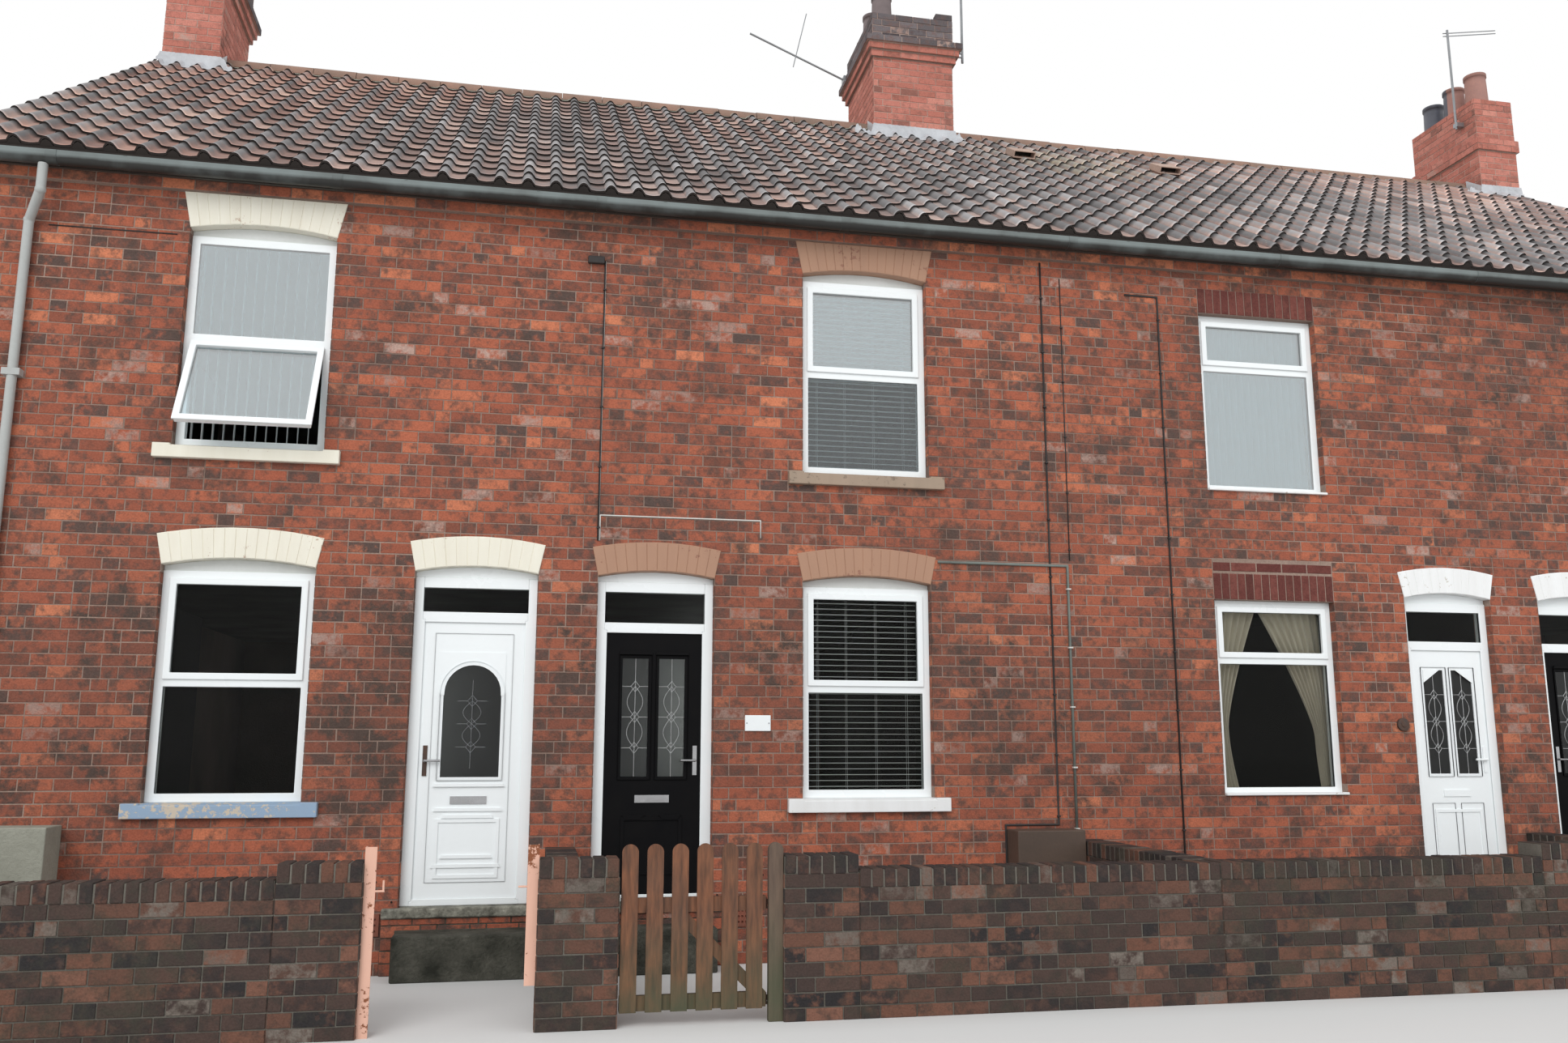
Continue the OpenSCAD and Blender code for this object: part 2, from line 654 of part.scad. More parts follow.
// Downpipe with a swan neck from the gutter back to the wall
pipe_y = face - pipe_r - 12;
pipe_top = gutter_z - gutter_r;
module bar(a, b, r, n = 24) {
    v = b - a;
    translate(a) rotate([0, acos(v[2] / norm(v)), atan2(v[1], v[0])]) cylinder(h = norm(v), r = r, $fn = n);
}
module downpipe(x, s) {
    a = [x, gutter_y, pipe_top];
    b = [x, gutter_y, pipe_top - outlet_h];
    c = [x - s * neck_shift, pipe_y, pipe_top - outlet_h - neck_drop];
    d = [x - s * neck_shift, pipe_y, 40];
    bar(a, b, pipe_r);
    bar(b, c, pipe_r);
    bar(c, d, pipe_r);
    for (p = [b, c]) translate(p) sphere(pipe_r + 4, $fn = 24);
    for (z = [600, 2400, 4200]) translate([d[0] - 60, pipe_y - pipe_r - 4, z])
        cube([120, face - pipe_y + pipe_r + 4, 50]);
    translate([d[0], pipe_y, 0]) cylinder(h = 60, r = pipe_r + 10, $fn = 24);
}
module downpipes() color("#9aa09e") {
    downpipe(-row_half + pipe_in, 1);
    downpipe(row_half - pipe_in, -1);
}

// Stack shaft with corbelled courses and a set-back neck, standing on its breasts
module shaft(x, w, z0, z1) translate([x - w / 2, face + stack_y, z0]) cube([w, stack_d, z1 - z0]);
module oversail(x, w, z0, z1, out) translate([x - w / 2 - out, face + stack_y - out, z0])
    cube([w + 2 * out, stack_d + 2 * out, z1 - z0]);
module corbelled_stack(x, w) {
    shaft(x, w, stack_seat_z, corbel_z);
    for (k = [0 : 2]) {
        z = corbel_z + k * course_h;
        oversail(x, w, z, z + course_h, (k + 1) * corbel_step);
    }
    oversail(x, w, corbel_z + 3 * course_h, corbel_z + (3 + neck_courses) * course_h, neck_out);
}
stack_top = corbel_z + (3 + neck_courses) * course_h;

module breast(x, w) translate([x - w / 2, face + stack_y, 0]) cube([w, stack_d, stack_seat_z]);

module chimney_stacks() color("#9b503e") {
    corbelled_stack(-row_half + end_stack_w / 2, end_stack_w);
    corbelled_stack(0, mid_stack_w);
    // Bricks left of a lost top course
    translate([mid_stack_w / 2 + neck_out - wall_t, face + stack_y - neck_out, stack_top])
        cube([wall_t, wall_t / 2, course_h]);
    // Right stack with its band
    shaft(row_half - end_stack_w / 2, end_stack_w, stack_seat_z, right_top_z);
    oversail(row_half - end_stack_w / 2, end_stack_w, band_z, band_z + 2 * course_h, band_out);
}
module chimney_breasts() color("#8c4636") for (s = [-1, 1]) {
    breast(s * (party_t + breast_w) / 2, breast_w);
    breast(s * (end_inner - end_breast_w / 2), end_breast_w);
}

// Tapered clay pot with a rolled rim
module pot(x, y, z, h, r) translate([x, y, z]) rotate_extrude($fn = 32)
    polygon([[r - pot_t, 0], [r, 0], [r * 0.92, h - 45], [r, h - 45], [r, h], [r * 0.92 - pot_t, h]]);
pot_place = stack_d / 3;
module chimney_pots() color("#a8664a") {
    y = face + stack_y + pot_place / 2;
    x = -mid_stack_w / 2 + 1.35 * pot_r;
    pot(x, y, stack_top, pot_h, pot_r);
    pot(x, y + pot_place, stack_top, pot_h * 0.94, pot_r);
    pot(x, y + 2 * pot_place, stack_top, pot_h * 0.56, pot_r * 0.77);
    for (k = [0 : 2]) {
        pot(-row_half + end_stack_w / 2, y + k * pot_place, stack_top, pot_h, pot_r);
        pot(row_half - end_stack_w * 0.6, y + k * pot_place, right_top_z, right_pot[1] * (k == 2 ? 0.9 : 1),
            right_pot[0]);
    }
}

// Lead over the tiles' rolls in front of a stack, with its upstand, and up the stack's two sides
roll_lift = roll_h / cos(pitch) + 0.5;
module lead_apron(x, w, past) {
    y = face + stack_y;
    z = roof_top(y) + roll_lift;
    up = y + lead_side;
    run(x - w / 2 - past[0], x + w / 2 + past[1]) polygon([[y, z + lead_h], [y - lead_t, z + lead_h],
        [y - lead_t, z + 2 * lead_t], [y - lead_down, roof_top(y - lead_down) + roll_lift + lead_t],
        [y - lead_down, roof_top(y - lead_down) + roll_lift], [y, z]]);
    for (a = [x - w / 2 - lead_t, x + w / 2]) run(a, a + lead_t) polygon([[y - lead_t, z],
        [up, roof_top(up) + roll_lift], [up, roof_top(up) + roll_lift + lead_h], [y - lead_t, z + lead_h]]);
}
module chimney_lead() color("#9aa3ad") intersection() {
    union() {
        lead_apron(0, mid_stack_w, lead_past);
        lead_apron(-row_half + end_stack_w / 2, end_stack_w, lead_past);
        lead_apron(row_half - end_stack_w / 2, end_stack_w, lead_past);
    }
    translate([-row_half - verge_out, 0, 0]) cube([2 * (row_half + verge_out), depth, 12000]);
}

// Aerial poles on brackets, with their booms
corbel_x = mid_stack_w / 2 + 3 * corbel_step;
pole_x = corbel_x + 4.5 * pole_r;
module aerials() color("#8d9296") {
    // Upright pole beside the middle stack
    y1 = face + stack_y + stack_d * 0.1;
    bar([pole_x, y1, corbel_z + 1.4 * course_h], [pole_x, y1, stack_top + pole_over[0]], pole_r);
    for (z = [corbel_z + 2.2 * course_h, corbel_z + 2.8 * course_h])
        translate([corbel_x, y1 - 12, z]) cube([pole_x - corbel_x, 24, 12]);
    // Slanted boom on the other side of the middle stack
    y2 = face + stack_y + stack_d * 0.8;
    z2 = corbel_z + 2.5 * course_h;
    bar([-corbel_x - 8, y2, z2], [-corbel_x - boom[0], y2, z2 + boom[1]], pole_r * 0.8);
    bar([-corbel_x - boom[0] * 0.55, y2 - 15, z2 + boom[1] * 0.2],
        [-corbel_x - boom[0] * 0.41, y2 - 15, z2 + boom[1] * 1.7], pole_r * 0.4, 12);
    translate([-corbel_x - 30, y2 - 60, z2 - 40]) cube([30, 120, 80]);
    // Upright pole and two booms beside the right stack
    x3 = row_half - end_stack_w - band_out - 60;
    y3 = face + stack_y + stack_d * 0.2;
    bar([x3, y3, right_top_z - 350], [x3, y3, right_top_z + pole_over[1]], pole_r);
    for (z = [right_top_z + pole_over[1] - 75, right_top_z + pole_over[1] - 30])
        bar([x3 - 60, y3 + pole_r, z - 20], [x3 - 60 + right_boom_l, y3 + pole_r, z + 130],
            pole_r * 0.45, 12);
    translate([x3 - 15, y3 - 40, right_top_z - 320]) cube([row_half - end_stack_w - x3 + 15, 80, 60]);
}

// Lights of a window: openings for the glass, as [low corner, size] in X and Z
function lower_light(i, sill, w) = [[window_x(i) - w / 2 + frame_w, sill + frame_w],
    [w - 2 * frame_w, transom_hs[i] - 1.5 * frame_w]];
function frame_top(i, head) = head - (i == flat_house ? 0 : infill_drop);
function upper_light(i, sill, head, w) = [
    [window_x(i) - w / 2 + frame_w, sill + transom_hs[i] + frame_w / 2],
    [w - 2 * frame_w, frame_top(i, head) - sill - transom_hs[i] - 1.5 * frame_w]];
module light(l, grow) translate([l[0][0] - grow, l[0][1] - grow])
    square([l[1][0] + 2 * grow, l[1][1] + 2 * grow]);

frame_y = face + reveal;
module window_frame(i, sill, head) {
    stand(frame_y, frame_d) difference() {
        translate([window_x(i) - window_ws[i] / 2, sill]) square([window_ws[i], frame_top(i, head) - sill]);
        light(lower_light(i, sill, window_ws[i]), 0);
        light(upper_light(i, sill, head, window_ws[i]), 0);
    }
    if (i != flat_house) infill(window_x(i), window_ws[i], head, rise(i));
}
// Board that closes the space between a frame's head and the arch
module infill(x, w, head, r) stand(frame_y + infill_set, infill_t)
    opening(x, head - infill_drop, w, infill_drop, r);
module window_frames() color("#eef0ee") for (i = [0 : house_n - 1]) {
    window_frame(i, low_sill_z, low_head(i));
    window_frame(i, up_sill_z, up_head(i));
}

// Opening light: a lip over the frame's front and a body inside it
module sash(l) {
    stand(frame_y - sash_proud, sash_proud) difference() {
        light(l, sash_lap);
        light(l, -sash_w + sash_lap);
    }
    stand(frame_y, frame_d * 0.6) difference() {
        light(l, -sash_gap);
        light(l, -sash_w + sash_lap);
    }
}
// Puts what it is given at the open light's angle, turned about its top edge and just clear of the frame
swing_out = sash_proud * cos(open_angle) + sash_lap * sin(open_angle) - sash_proud + sash_gap;
module swung(l) {
    z = l[0][1] + l[1][1];
    translate([0, frame_y - sash_proud, z]) rotate([-open_angle, 0, 0])
        translate([0, -frame_y + sash_proud - swing_out, -z]) children();
}
open_light = lower_light(0, up_sill_z, window_ws[0]);
function fixed_sashes() = concat(
    [for (i = [0, 1]) upper_light(i, low_sill_z, low_head(i), window_ws[i])],
    [for (i = [1, 3]) upper_light(i, up_sill_z, up_head(i), window_ws[i])],
    [for (i = [2]) upper_light(i, up_sill_z, up_head(i), window_ws[i])],
    [for (i = [2, 3]) upper_light(i, low_sill_z, low_head(i), window_ws[i])]);
module opening_lights() color("#f4f5f3") {
    for (l = fixed_sashes()) sash(l);
    swung(open_light) sash(open_light);
}

pane_y = frame_y + 10;
module pane(l, grow) stand(pane_y, pane_t) light(l, grow);
module window_glass() color("#8fa0a8", 0.5) {
    for (l = fixed_sashes()) pane(l, -sash_w + sash_lap);
    for (i = [0 : house_n - 1]) {
        pane(lower_light(i, low_sill_z, window_ws[i]), 0);
        if (i > 0) pane(lower_light(i, up_sill_z, window_ws[i]), 0);
    }
    pane(upper_light(0, up_sill_z, up_head_z, window_ws[0]), 0);
    swung(open_light) pane(open_light, -sash_w + sash_lap);
    fanlights();
    rear_glass();
}

module painted_arches() color("#d9cfae") stand(face - arch_proud, wall_t + arch_proud)
    for (i = [0 : house_n - 1]) {
        door_arch(i);
        if (i != flat_house) {
            head(i, low_head_z, window_ws[i]);
            head(i, up_head_z, window_ws[i]);
        }
    }
module soldier_lintels() color("#8a4436") stand(face, wall_t) {
    head(flat_house, low_head(flat_house), window_ws[flat_house]);
    head(flat_house, up_head(flat_house), window_ws[flat_house]);
}

// Stone sills with a sloped top, let into the wall, and the thin sills of the third house
module stone_sill(i, z) difference() {
    translate([window_x(i) - window_ws[i] / 2 - sill_lug, face - sill_proud, z - sill_h])
        cube([window_ws[i] + 2 * sill_lug, sill_proud + wall_t, sill_h]);
    run(window_x(i) - window_ws[i] / 2, window_x(i) + window_ws[i] / 2) polygon([
        [face - sill_proud - eps, z - 14], [face, z], [face - sill_proud - eps, z + eps]]);
}
module thin_sill(i, z) translate([window_x(i) - window_ws[i] / 2 + eps, face - 30, z])
    cube([window_ws[i] - 2 * eps, reveal + 30, thin_sill_h * 0.6]);
module window_sills() color("#cfc8b4") {
    for (i = [0 : house_n - 1]) if (i != flat_house) {
        stone_sill(i, low_sill_z);
        stone_sill(i, up_sill_z);
    }
    for (z = [low_sill_z, up_sill_z]) thin_sill(flat_house, z);
}

// Sides of a door frame, each with the stop that the leaf closes against
leaf_y = frame_y + 16;
door_top = low_head_z - infill_drop;
module jambs(i) for (s = [-1, 1]) {
    x = door_x(i) + s * (door_ws[i] - jamb_w) / 2;
    stand(frame_y, frame_d) translate([x - jamb_w / 2, door_z]) square([jamb_w, door_top - door_z]);
    stand(frame_y, stop_d) translate([x - s * (jamb_w + stop_w) / 2 - stop_w / 2, door_z + door_rail_h / 2])
        square([stop_w, door_transom_zs[i] - door_rail_h - door_z]);
}

// Bottom member, transom and head of a door frame, with the level stops and the board under the arch
module rails(i) {
    clear_w = door_ws[i] - 2 * jamb_w;
    x = door_x(i) - clear_w / 2;
    t = door_transom_zs[i];
    stand(frame_y, frame_d) {
        translate([x, door_z]) square([clear_w, door_rail_h / 2]);
        translate([x, t - door_rail_h / 2]) square([clear_w, door_rail_h]);
        translate([x, low_head_z - fan_head]) square([clear_w, fan_head - infill_drop]);
    }
    stand(frame_y, stop_d) for (z = [door_z + door_rail_h / 2, t - door_rail_h / 2 - stop_w])
        translate([x + stop_w, z]) square([clear_w - 2 * stop_w, stop_w]);
    infill(door_x(i), door_ws[i], low_head_z, door_rise);
}
// Hinges on the inside: a plate behind the frame carries the pin and the outer knuckles, the leaf the
// middle one
hinge_back = 20;
free_side = [-1, 1, 1, -1];
knuckle_r = hinge_pin_r + 4;
function hinge_px(i) = door_x(i) - free_side[i] * (leaf_w(i) / 2 + leaf_gap / 2);
pivot_y = leaf_y + leaf_t + hinge_back;
function door_hinge_zs(i) = [leaf_z + 200, leaf_z + leaf_h(i) / 2, leaf_z + leaf_h(i) - 290];
module frame_knuckles(i) for (z = door_hinge_zs(i)) translate([hinge_px(i), 0, z]) {
    translate([0, pivot_y, 0]) cylinder(h = 3 * knuckle_h, r = hinge_pin_r);
    for (k = [0, 2]) translate([0, 0, k * knuckle_h]) {
        translate([0, pivot_y, 0]) cylinder(h = knuckle_h - pin_gap * k / 2, r = knuckle_r);
        translate([free_side[i] > 0 ? -40 : 0, frame_y + frame_d, 0])
            cube([40, pivot_y - frame_y - frame_d - 4, knuckle_h - pin_gap]);
    }
}
module leaf_knuckles(i) for (z = door_hinge_zs(i))
    translate([hinge_px(i), 0, z + knuckle_h + pin_gap]) difference() {
        h = knuckle_h - 2 * pin_gap;
        union() {
            translate([0, pivot_y, 0]) cylinder(h = h, r = knuckle_r);
            translate([free_side[i] > 0 ? 0 : -12, leaf_y + leaf_t - 2, 0]) cube([12, hinge_back + 2, h]);
            translate([free_side[i] > 0 ? 0 : -45, leaf_y + leaf_t - 2, 0]) cube([45, 6, h]);
        }
        translate([0, pivot_y, -eps]) cylinder(h = knuckle_h + eps, r = hinge_pin_r + pin_gap);
    }
function fan_h(i) = low_head_z - fan_head - door_transom_zs[i] - door_rail_h / 2;
module door_jambs() color("#eef0ee") for (i = [0 : house_n - 1]) jambs(i);
module door_rails() color("#eef0ee") for (i = [0 : house_n - 1]) rails(i);
module fanlights() for (i = [0 : house_n - 1]) stand(pane_y, pane_t)
    translate([door_x(i) - door_ws[i] / 2 + jamb_w, door_transom_zs[i] + door_rail_h / 2])
        square([door_ws[i] - 2 * jamb_w, fan_h(i)]);

// Glass openings of a leaf, in X and Z: one arched light, or two tall ones
module leaf_lights(i) translate([door_x(i), leaf_z]) {
    if (i == 0) opening(0, glass_low, glass_a_w, glass_high - glass_low - 60, 60);
    else for (s = [-1, 1]) translate([s * 140 - glass_b_w / 2, glass_low])
        square([glass_b_w, glass_high - glass_low]);
}

// Leaf with its raised moulds, letter plate, lever handles and hinge knuckles
module leaf(i) {
    free = free_side[i];
    x = door_x(i);
    w = leaf_w(i);
    leaf_knuckles(i);
    stand(leaf_y, leaf_t) difference() {
        translate([x - w / 2, leaf_z]) square([w, leaf_h(i)]);
        leaf_lights(i);
    }
    // Raised bottom panel and letter plate
    stand(leaf_y - mould_t, mould_t) difference() {
        translate([x - 230, leaf_z + 150]) square([460, 420]);
        translate([x - 205, leaf_z + 175]) square([410, 370]);
    }
    translate([x - 130, leaf_y - mould_t, leaf_z + letter_z - 28]) cube([260, mould_t, 56]);
    // Handle plates and levers on both faces
    hx = x + free * (w / 2 - 55);
    translate([hx - 16, leaf_y - mould_t, leaf_z + handle_z - 110]) cube([32, mould_t, 220]);
    translate([hx - 16, leaf_y + leaf_t, leaf_z + handle_z - 110]) cube([32, mould_t, 220]);
    bar([hx, leaf_y - 30, leaf_z + handle_z], [hx, leaf_y + leaf_t + 30, leaf_z + handle_z], 9, 16);
    for (y = [leaf_y - 34, leaf_y + leaf_t + 34]) {
        bar([hx, y, leaf_z + handle_z], [hx - free * 110, y, leaf_z + handle_z], 9, 16);
        translate([hx, y, leaf_z + handle_z]) sphere(11, $fn = 16);
    }
}
module leaf_glass(i) stand(leaf_y + 10, leaf_t - 20) leaf_lights(i);

module door_a() color("#f2f4f4") leaf(0);
module door_b() color("#1c1c1e") leaf(1);
module door_c() color("#f2f4f4") leaf(2);
module door_d() color("#1c1c1e") leaf(3);
module door_a_glass() color("#9fb0b4", 0.6) leaf_glass(0);
module door_b_glass() color("#9fb0b4", 0.6) leaf_glass(1);
module door_c_glass() color("#9fb0b4", 0.6) leaf_glass(2);
module door_d_glass() color("#9fb0b4", 0.6) leaf_glass(3);

// Stone slab under each door, wider in front of the wall, its brick base, and a concrete step
module doorsteps() color("#8b857a") for (i = [0 : house_n - 1]) {
    w = door_ws[i] + 2 * slab_lug;
    translate([door_x(i) - door_ws[i] / 2, face, plinth_z]) cube([door_ws[i], wall_t, slab_t]);
    translate([door_x(i) - w / 2, face - slab_proud, plinth_z]) cube([w, slab_proud, slab_t]);
    translate([door_x(i) - w / 2, face - base_proud, 0]) cube([w, base_proud, plinth_z]);
    translate([door_x(i) - step_size[0] / 2, face - step_size[1], 0]) cube(step_size);
}

// Rear windows and doors, plain and fixed
rear_frame_y = rear_face - reveal - frame_d;
function rear_light(x, z, h) = [[x - rear_window_w / 2 + frame_w, z], [rear_window_w - 2 * frame_w, h]];
module rear_window(x, sill, head) stand(rear_frame_y, frame_d) difference() {
    translate([x - rear_window_w / 2, sill]) square([rear_window_w, head - sill]);
    light(rear_light(x, sill + frame_w, 840 - 1.5 * frame_w), 0);
    light(rear_light(x, sill + 840 + frame_w / 2, head - sill - 840 - 1.5 * frame_w), 0);
}
module rear_windows() color("#eef0ee") for (i = [0 : house_n - 1]) {
    rear_window(window_x(i), low_sill_z, low_head_z);
    rear_window(window_x(i), up_sill_z, up_head_z);
}
module rear_glass() for (i = [0 : house_n - 1])
    for (s = [[low_sill_z, low_head_z], [up_sill_z, up_head_z]])
        stand(rear_frame_y + 20, pane_t) {
            light(rear_light(window_x(i), s[0] + frame_w, 840 - 1.5 * frame_w), 0);
            light(rear_light(window_x(i), s[0] + 840 + frame_w / 2, s[1] - s[0] - 840 - 1.5 * frame_w), 0);
        }
module rear_doors() color("#3f5a4c") for (i = [0 : house_n - 1]) {
    translate([door_x(i) - rear_door_w / 2, rear_frame_y, door_z])
        cube([rear_door_w, frame_d, low_head_z - door_z]);
    for (z = [door_z + 200, door_z + 1150]) translate([door_x(i) - 280, rear_frame_y + frame_d, z])
        cube([560, 10, 760]);
}
module rear_dressings() color("#b8b0a0") for (i = [0 : house_n - 1]) {
    stand(rear_inner, wall_t + arch_proud) {
        for (z = [low_head_z, up_head_z]) rear_lintel(window_x(i), z, rear_window_w);
        rear_lintel(door_x(i), low_head_z, rear_door_w);
    }
    stand(rear_inner, wall_t + sill_proud) for (z = [low_sill_z, up_sill_z]) rear_sill(window_x(i), z);
}

// Air bricks beside the doors, with rows of square holes
module air_bricks() color("#7a3f30") for (i = [0 : house_n - 1])
    translate([door_x(i) + side[i] * (door_ws[i] / 2 + 235), face - air_brick[2], 345]) difference() {
        translate([-air_brick[0] / 2, 0, -air_brick[1] / 2])
            cube([air_brick[0], air_brick[2], air_brick[1]]);
        for (a = [-3 : 3], b = [-1 : 1]) translate([a * 28 - 7, -eps, b * 40 - 7])
            cube([14, air_brick[2] - 6, 14]);
    }

// Cables clipped to the front: each is a run of straight lengths with rounded turns
module cable(pts, r) {
    for (k = [0 : len(pts) - 2]) bar(pts[k], pts[k + 1], r);
    for (k = [1 : 1 : len(pts) - 2]) translate(pts[k]) sphere(r, $fn = 24);
}
function on_wall(x, z, r) = [x, face - r, z];
module wall_run(pts, r) cable([for (p = pts) on_wall(p[0], p[1], r)], r);
dividing_x = -divide_t / 2 + 18;
brown_box_x = -divide_t / 2 - 12 - brown_box[0];
module wall_cables() color("#1e1c1c") {
    // From the junction box down to the second house's door, and a thin one from there over to its window
    a = -house_w + cable_xs[0];
    over_arch = low_head_z + door_rise + arch_h;
    wall_run([[a, cable_top_zs[3] + 40], [a, over_arch]], cable_r);
    b = -house_w + cable_end_x;
    wall_run([[a + cable_r + thin_cable_r, over_arch], [a + cable_r + thin_cable_r, cable_low_zs[0]],
        [b, cable_low_zs[0]], [b, cable_low_zs[1]]], thin_cable_r);
    // Down to the brown box and beside it, and a thin one near the party line
    c = -house_w + cable_xs[1];
    d = brown_box_x - cable_r;
    wall_run([[c, cable_top_zs[0]], [c, cable_low_zs[3]], [d, cable_low_zs[3]], [d, 60]], cable_r);
    e = -house_w + cable_xs[2];
    wall_run([[e, cable_top_zs[1]], [e, cable_low_zs[2] + conduit_r + 35]], thin_cable_r);
    // Down between the middle of the row and the third house's window
    f = cable_xs[3];
    wall_run([[f - 306, cable_top_zs[2]], [f, cable_top_zs[2]], [f, 300]], cable_r);
    // Conduit over the second window, down to the dividing wall
    wall_run([[window_x(1) + window_ws[1] / 2 + 60, cable_low_zs[2]], [dividing_x, cable_low_zs[2]],
        [dividing_x, garden_h + 0.3]], conduit_r);
    // Thin one under the eaves at the left end
    wall_run([[-row_half + 620, cable_top_zs[3]], [-row_half + 1500, cable_top_zs[3]]], thin_cable_r);
}

// Concrete block at the left end, brown box beside the middle, and the junction box under the eaves
module meter_boxes() color("#7a756b") {
    translate([-row_half + pipe_in - neck_shift + 70, face - block[1], 0]) cube(block);
    translate([brown_box_x, face - brown_box[1], 0]) cube(brown_box);
    translate([-house_w + cable_xs[0] - cable_r - junction_box[0], face - junction_box[1],
        cable_top_zs[3] + 10]) cube(junction_box);
}

// Low front walls with brick on edge coping, raised beside the gateways
garden_y0 = face - garden_y;
pier_x = house_w - pier_in;
post_x1 = pier_x + garden_end_l;
wall_end_x = pier_x - gateway_w;
outer_wall_x = post_x1 + post_gateway_w;
module garden_wall(x0, x1, h) {
    translate([x0, garden_y0 + coping_out, 0]) cube([x1 - x0, garden_t - 2 * coping_out, h - coping_h]);
    translate([x0, garden_y0, h - coping_h]) cube([x1 - x0, garden_t, coping_h]);
}
module front_garden_walls() color("#4a332c") for (s = [-1, 1]) mirror([s < 0 ? 1 : 0, 0, 0]) {
    garden_wall(0, wall_end_x - garden_end_l, garden_h);
    garden_wall(wall_end_x - garden_end_l, wall_end_x, garden_end_h);
    garden_wall(pier_x, post_x1, garden_end_h);
    garden_wall(outer_wall_x, outer_wall_x + garden_end_l, garden_end_h);
    garden_wall(outer_wall_x + garden_end_l, row_half, garden_h);
}
module dividing_walls() color("#4a332c")
    for (x = [-row_half + divide_t / 2, -house_w, 0, house_w, row_half - divide_t / 2]) {
        y = garden_y0 + garden_t;
        translate([x - divide_t / 2 + coping_out, y - coping_out, 0])
            cube([divide_t - 2 * coping_out, face - y + coping_out, garden_h - coping_h]);
        translate([x - divide_t / 2, y, garden_h - coping_h]) cube([divide_t, face - y, coping_h]);
    }

// Steel angle posts against the wall end and the pier, with hooks for a gate that is gone
module gate_post(x, s, z0) translate([x, garden_y0 + 40, z0]) mirror([s < 0 ? 1 : 0, 0, 0]) {
    cube([post_t, 60, post_h - z0]);
    cube([post_w, post_t, post_h - z0]);
}
module gate_posts() color("#d98f7c") {
    gate_post(-outer_wall_x, 1, 0);
    gate_post(-post_x1, -1, 250);
    y = garden_y0 + 44;
    a = -outer_wall_x + post_w;
    bar([a, y, post_h - 245], [a + 50, y, post_h - 245], 6, 16);
    bar([a + 44, y, post_h - 245], [a + 44, y, post_h - 185], 6, 16);
    b = -post_x1 - post_w;
    bar([b, y, post_h - 235], [b - 50, y, post_h - 235], 6, 16);
}

// Timber gate, hung on two pins on the back of a timber post that stands against the wall's end
post_x0 = -wall_end_x - gate_post_size[0];
gate_x0 = -pier_x + gate_clear;
gate_x1 = post_x0 - gate_clear;
brace_x = gate_x0 + (gate_x1 - gate_x0) / 3;
gate_y = garden_y0 + 30;
hinge_y = gate_y + picket_t + rail[1] + 14;
hinge_x = post_x0 - 6;
rail_zs = [gate_gap + rail_places[1], picket_top - rail_places[0]];
hinge_zs = [for (z = rail_zs) z + rail[0] / 2];
module picket(x, w, t, z) stand(gate_y, t) {
    translate([x, z]) square([w, picket_top - z - w / 2]);
    translate([x + w / 2, picket_top - w / 2]) circle(w / 2);
}
module timber_post() color("#5f3b2a") picket(post_x0, gate_post_size[0], gate_post_size[1], 0);
module picket_gate() color("#6d4230") {
    for (k = [0 : picket_n - 1]) picket(gate_x0 + k * picket_pitch, picket_w, picket_t, gate_gap);
    for (z = rail_zs) translate([gate_x0, gate_y + picket_t, z])
        cube([gate_x1 - gate_x0, rail[1], rail[0]]);
    // Diagonal brace between the rails
    stand(gate_y + picket_t, rail[1]) polygon([
        [gate_x1 - 100, rail_zs[0] + rail[0]], [gate_x1, rail_zs[0] + rail[0]],
        [brace_x + 100, rail_zs[1]], [brace_x, rail_zs[1]]]);
    // Hinge straps with their eyes
    for (z = hinge_zs) difference() {
        union() {
            translate([hinge_x - 320, gate_y + picket_t + rail[1], z - 15]) cube([320, 6, 30]);
            translate([hinge_x, hinge_y, z - 15]) cylinder(h = 30, r = pin_r + 7);
        }
        translate([hinge_x, hinge_y, z - 16]) cylinder(h = 32, r = pin_r + pin_gap);
    }
}
// The gate's pins with a shoulder under the eye, on an arm and a plate behind the post, and the parts of
// the doors' hinges that the frames carry
module hinges() color("#3a3532") {
    for (z = hinge_zs) {
        translate([hinge_x, hinge_y, z - 40]) cylinder(h = 68, r = pin_r);
        translate([hinge_x, hinge_y, z - 40]) cylinder(h = 24.7, r = pin_r + 3);
        translate([hinge_x - pin_r, hinge_y - 8, z - 40]) cube([50, 14, 14]);
        translate([post_x0 + 2, gate_y + gate_post_size[1], z - 40]) cube([42, 16, 14]);
    }
    for (i = [0 : house_n - 1]) frame_knuckles(i);
}

front_plinth();
front_walls();
front_piers();
front_wall_upper();
rear_wall();
end_walls();
party_walls();
ground_floors();
upper_floors();
roof_front();
roof_rear();
ridge_tiles();
fascias();
gutters();
downpipes();
chimney_stacks();
chimney_breasts();
chimney_pots();
chimney_lead();
aerials();
window_frames();
opening_lights();
window_glass();
painted_arches();
soldier_lintels();
window_sills();
door_jambs();
door_rails();
door_a();
door_a_glass();
door_b();
door_b_glass();
door_c();
door_c_glass();
door_d();
door_d_glass();
doorsteps();
rear_windows();
rear_doors();
rear_dressings();
air_bricks();
wall_cables();
meter_boxes();
front_garden_walls();
dividing_walls();
gate_posts();
timber_post();
hinges();
picket_gate();
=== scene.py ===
import math
import random

import bmesh
import bpy
from mathutils import Matrix, Vector


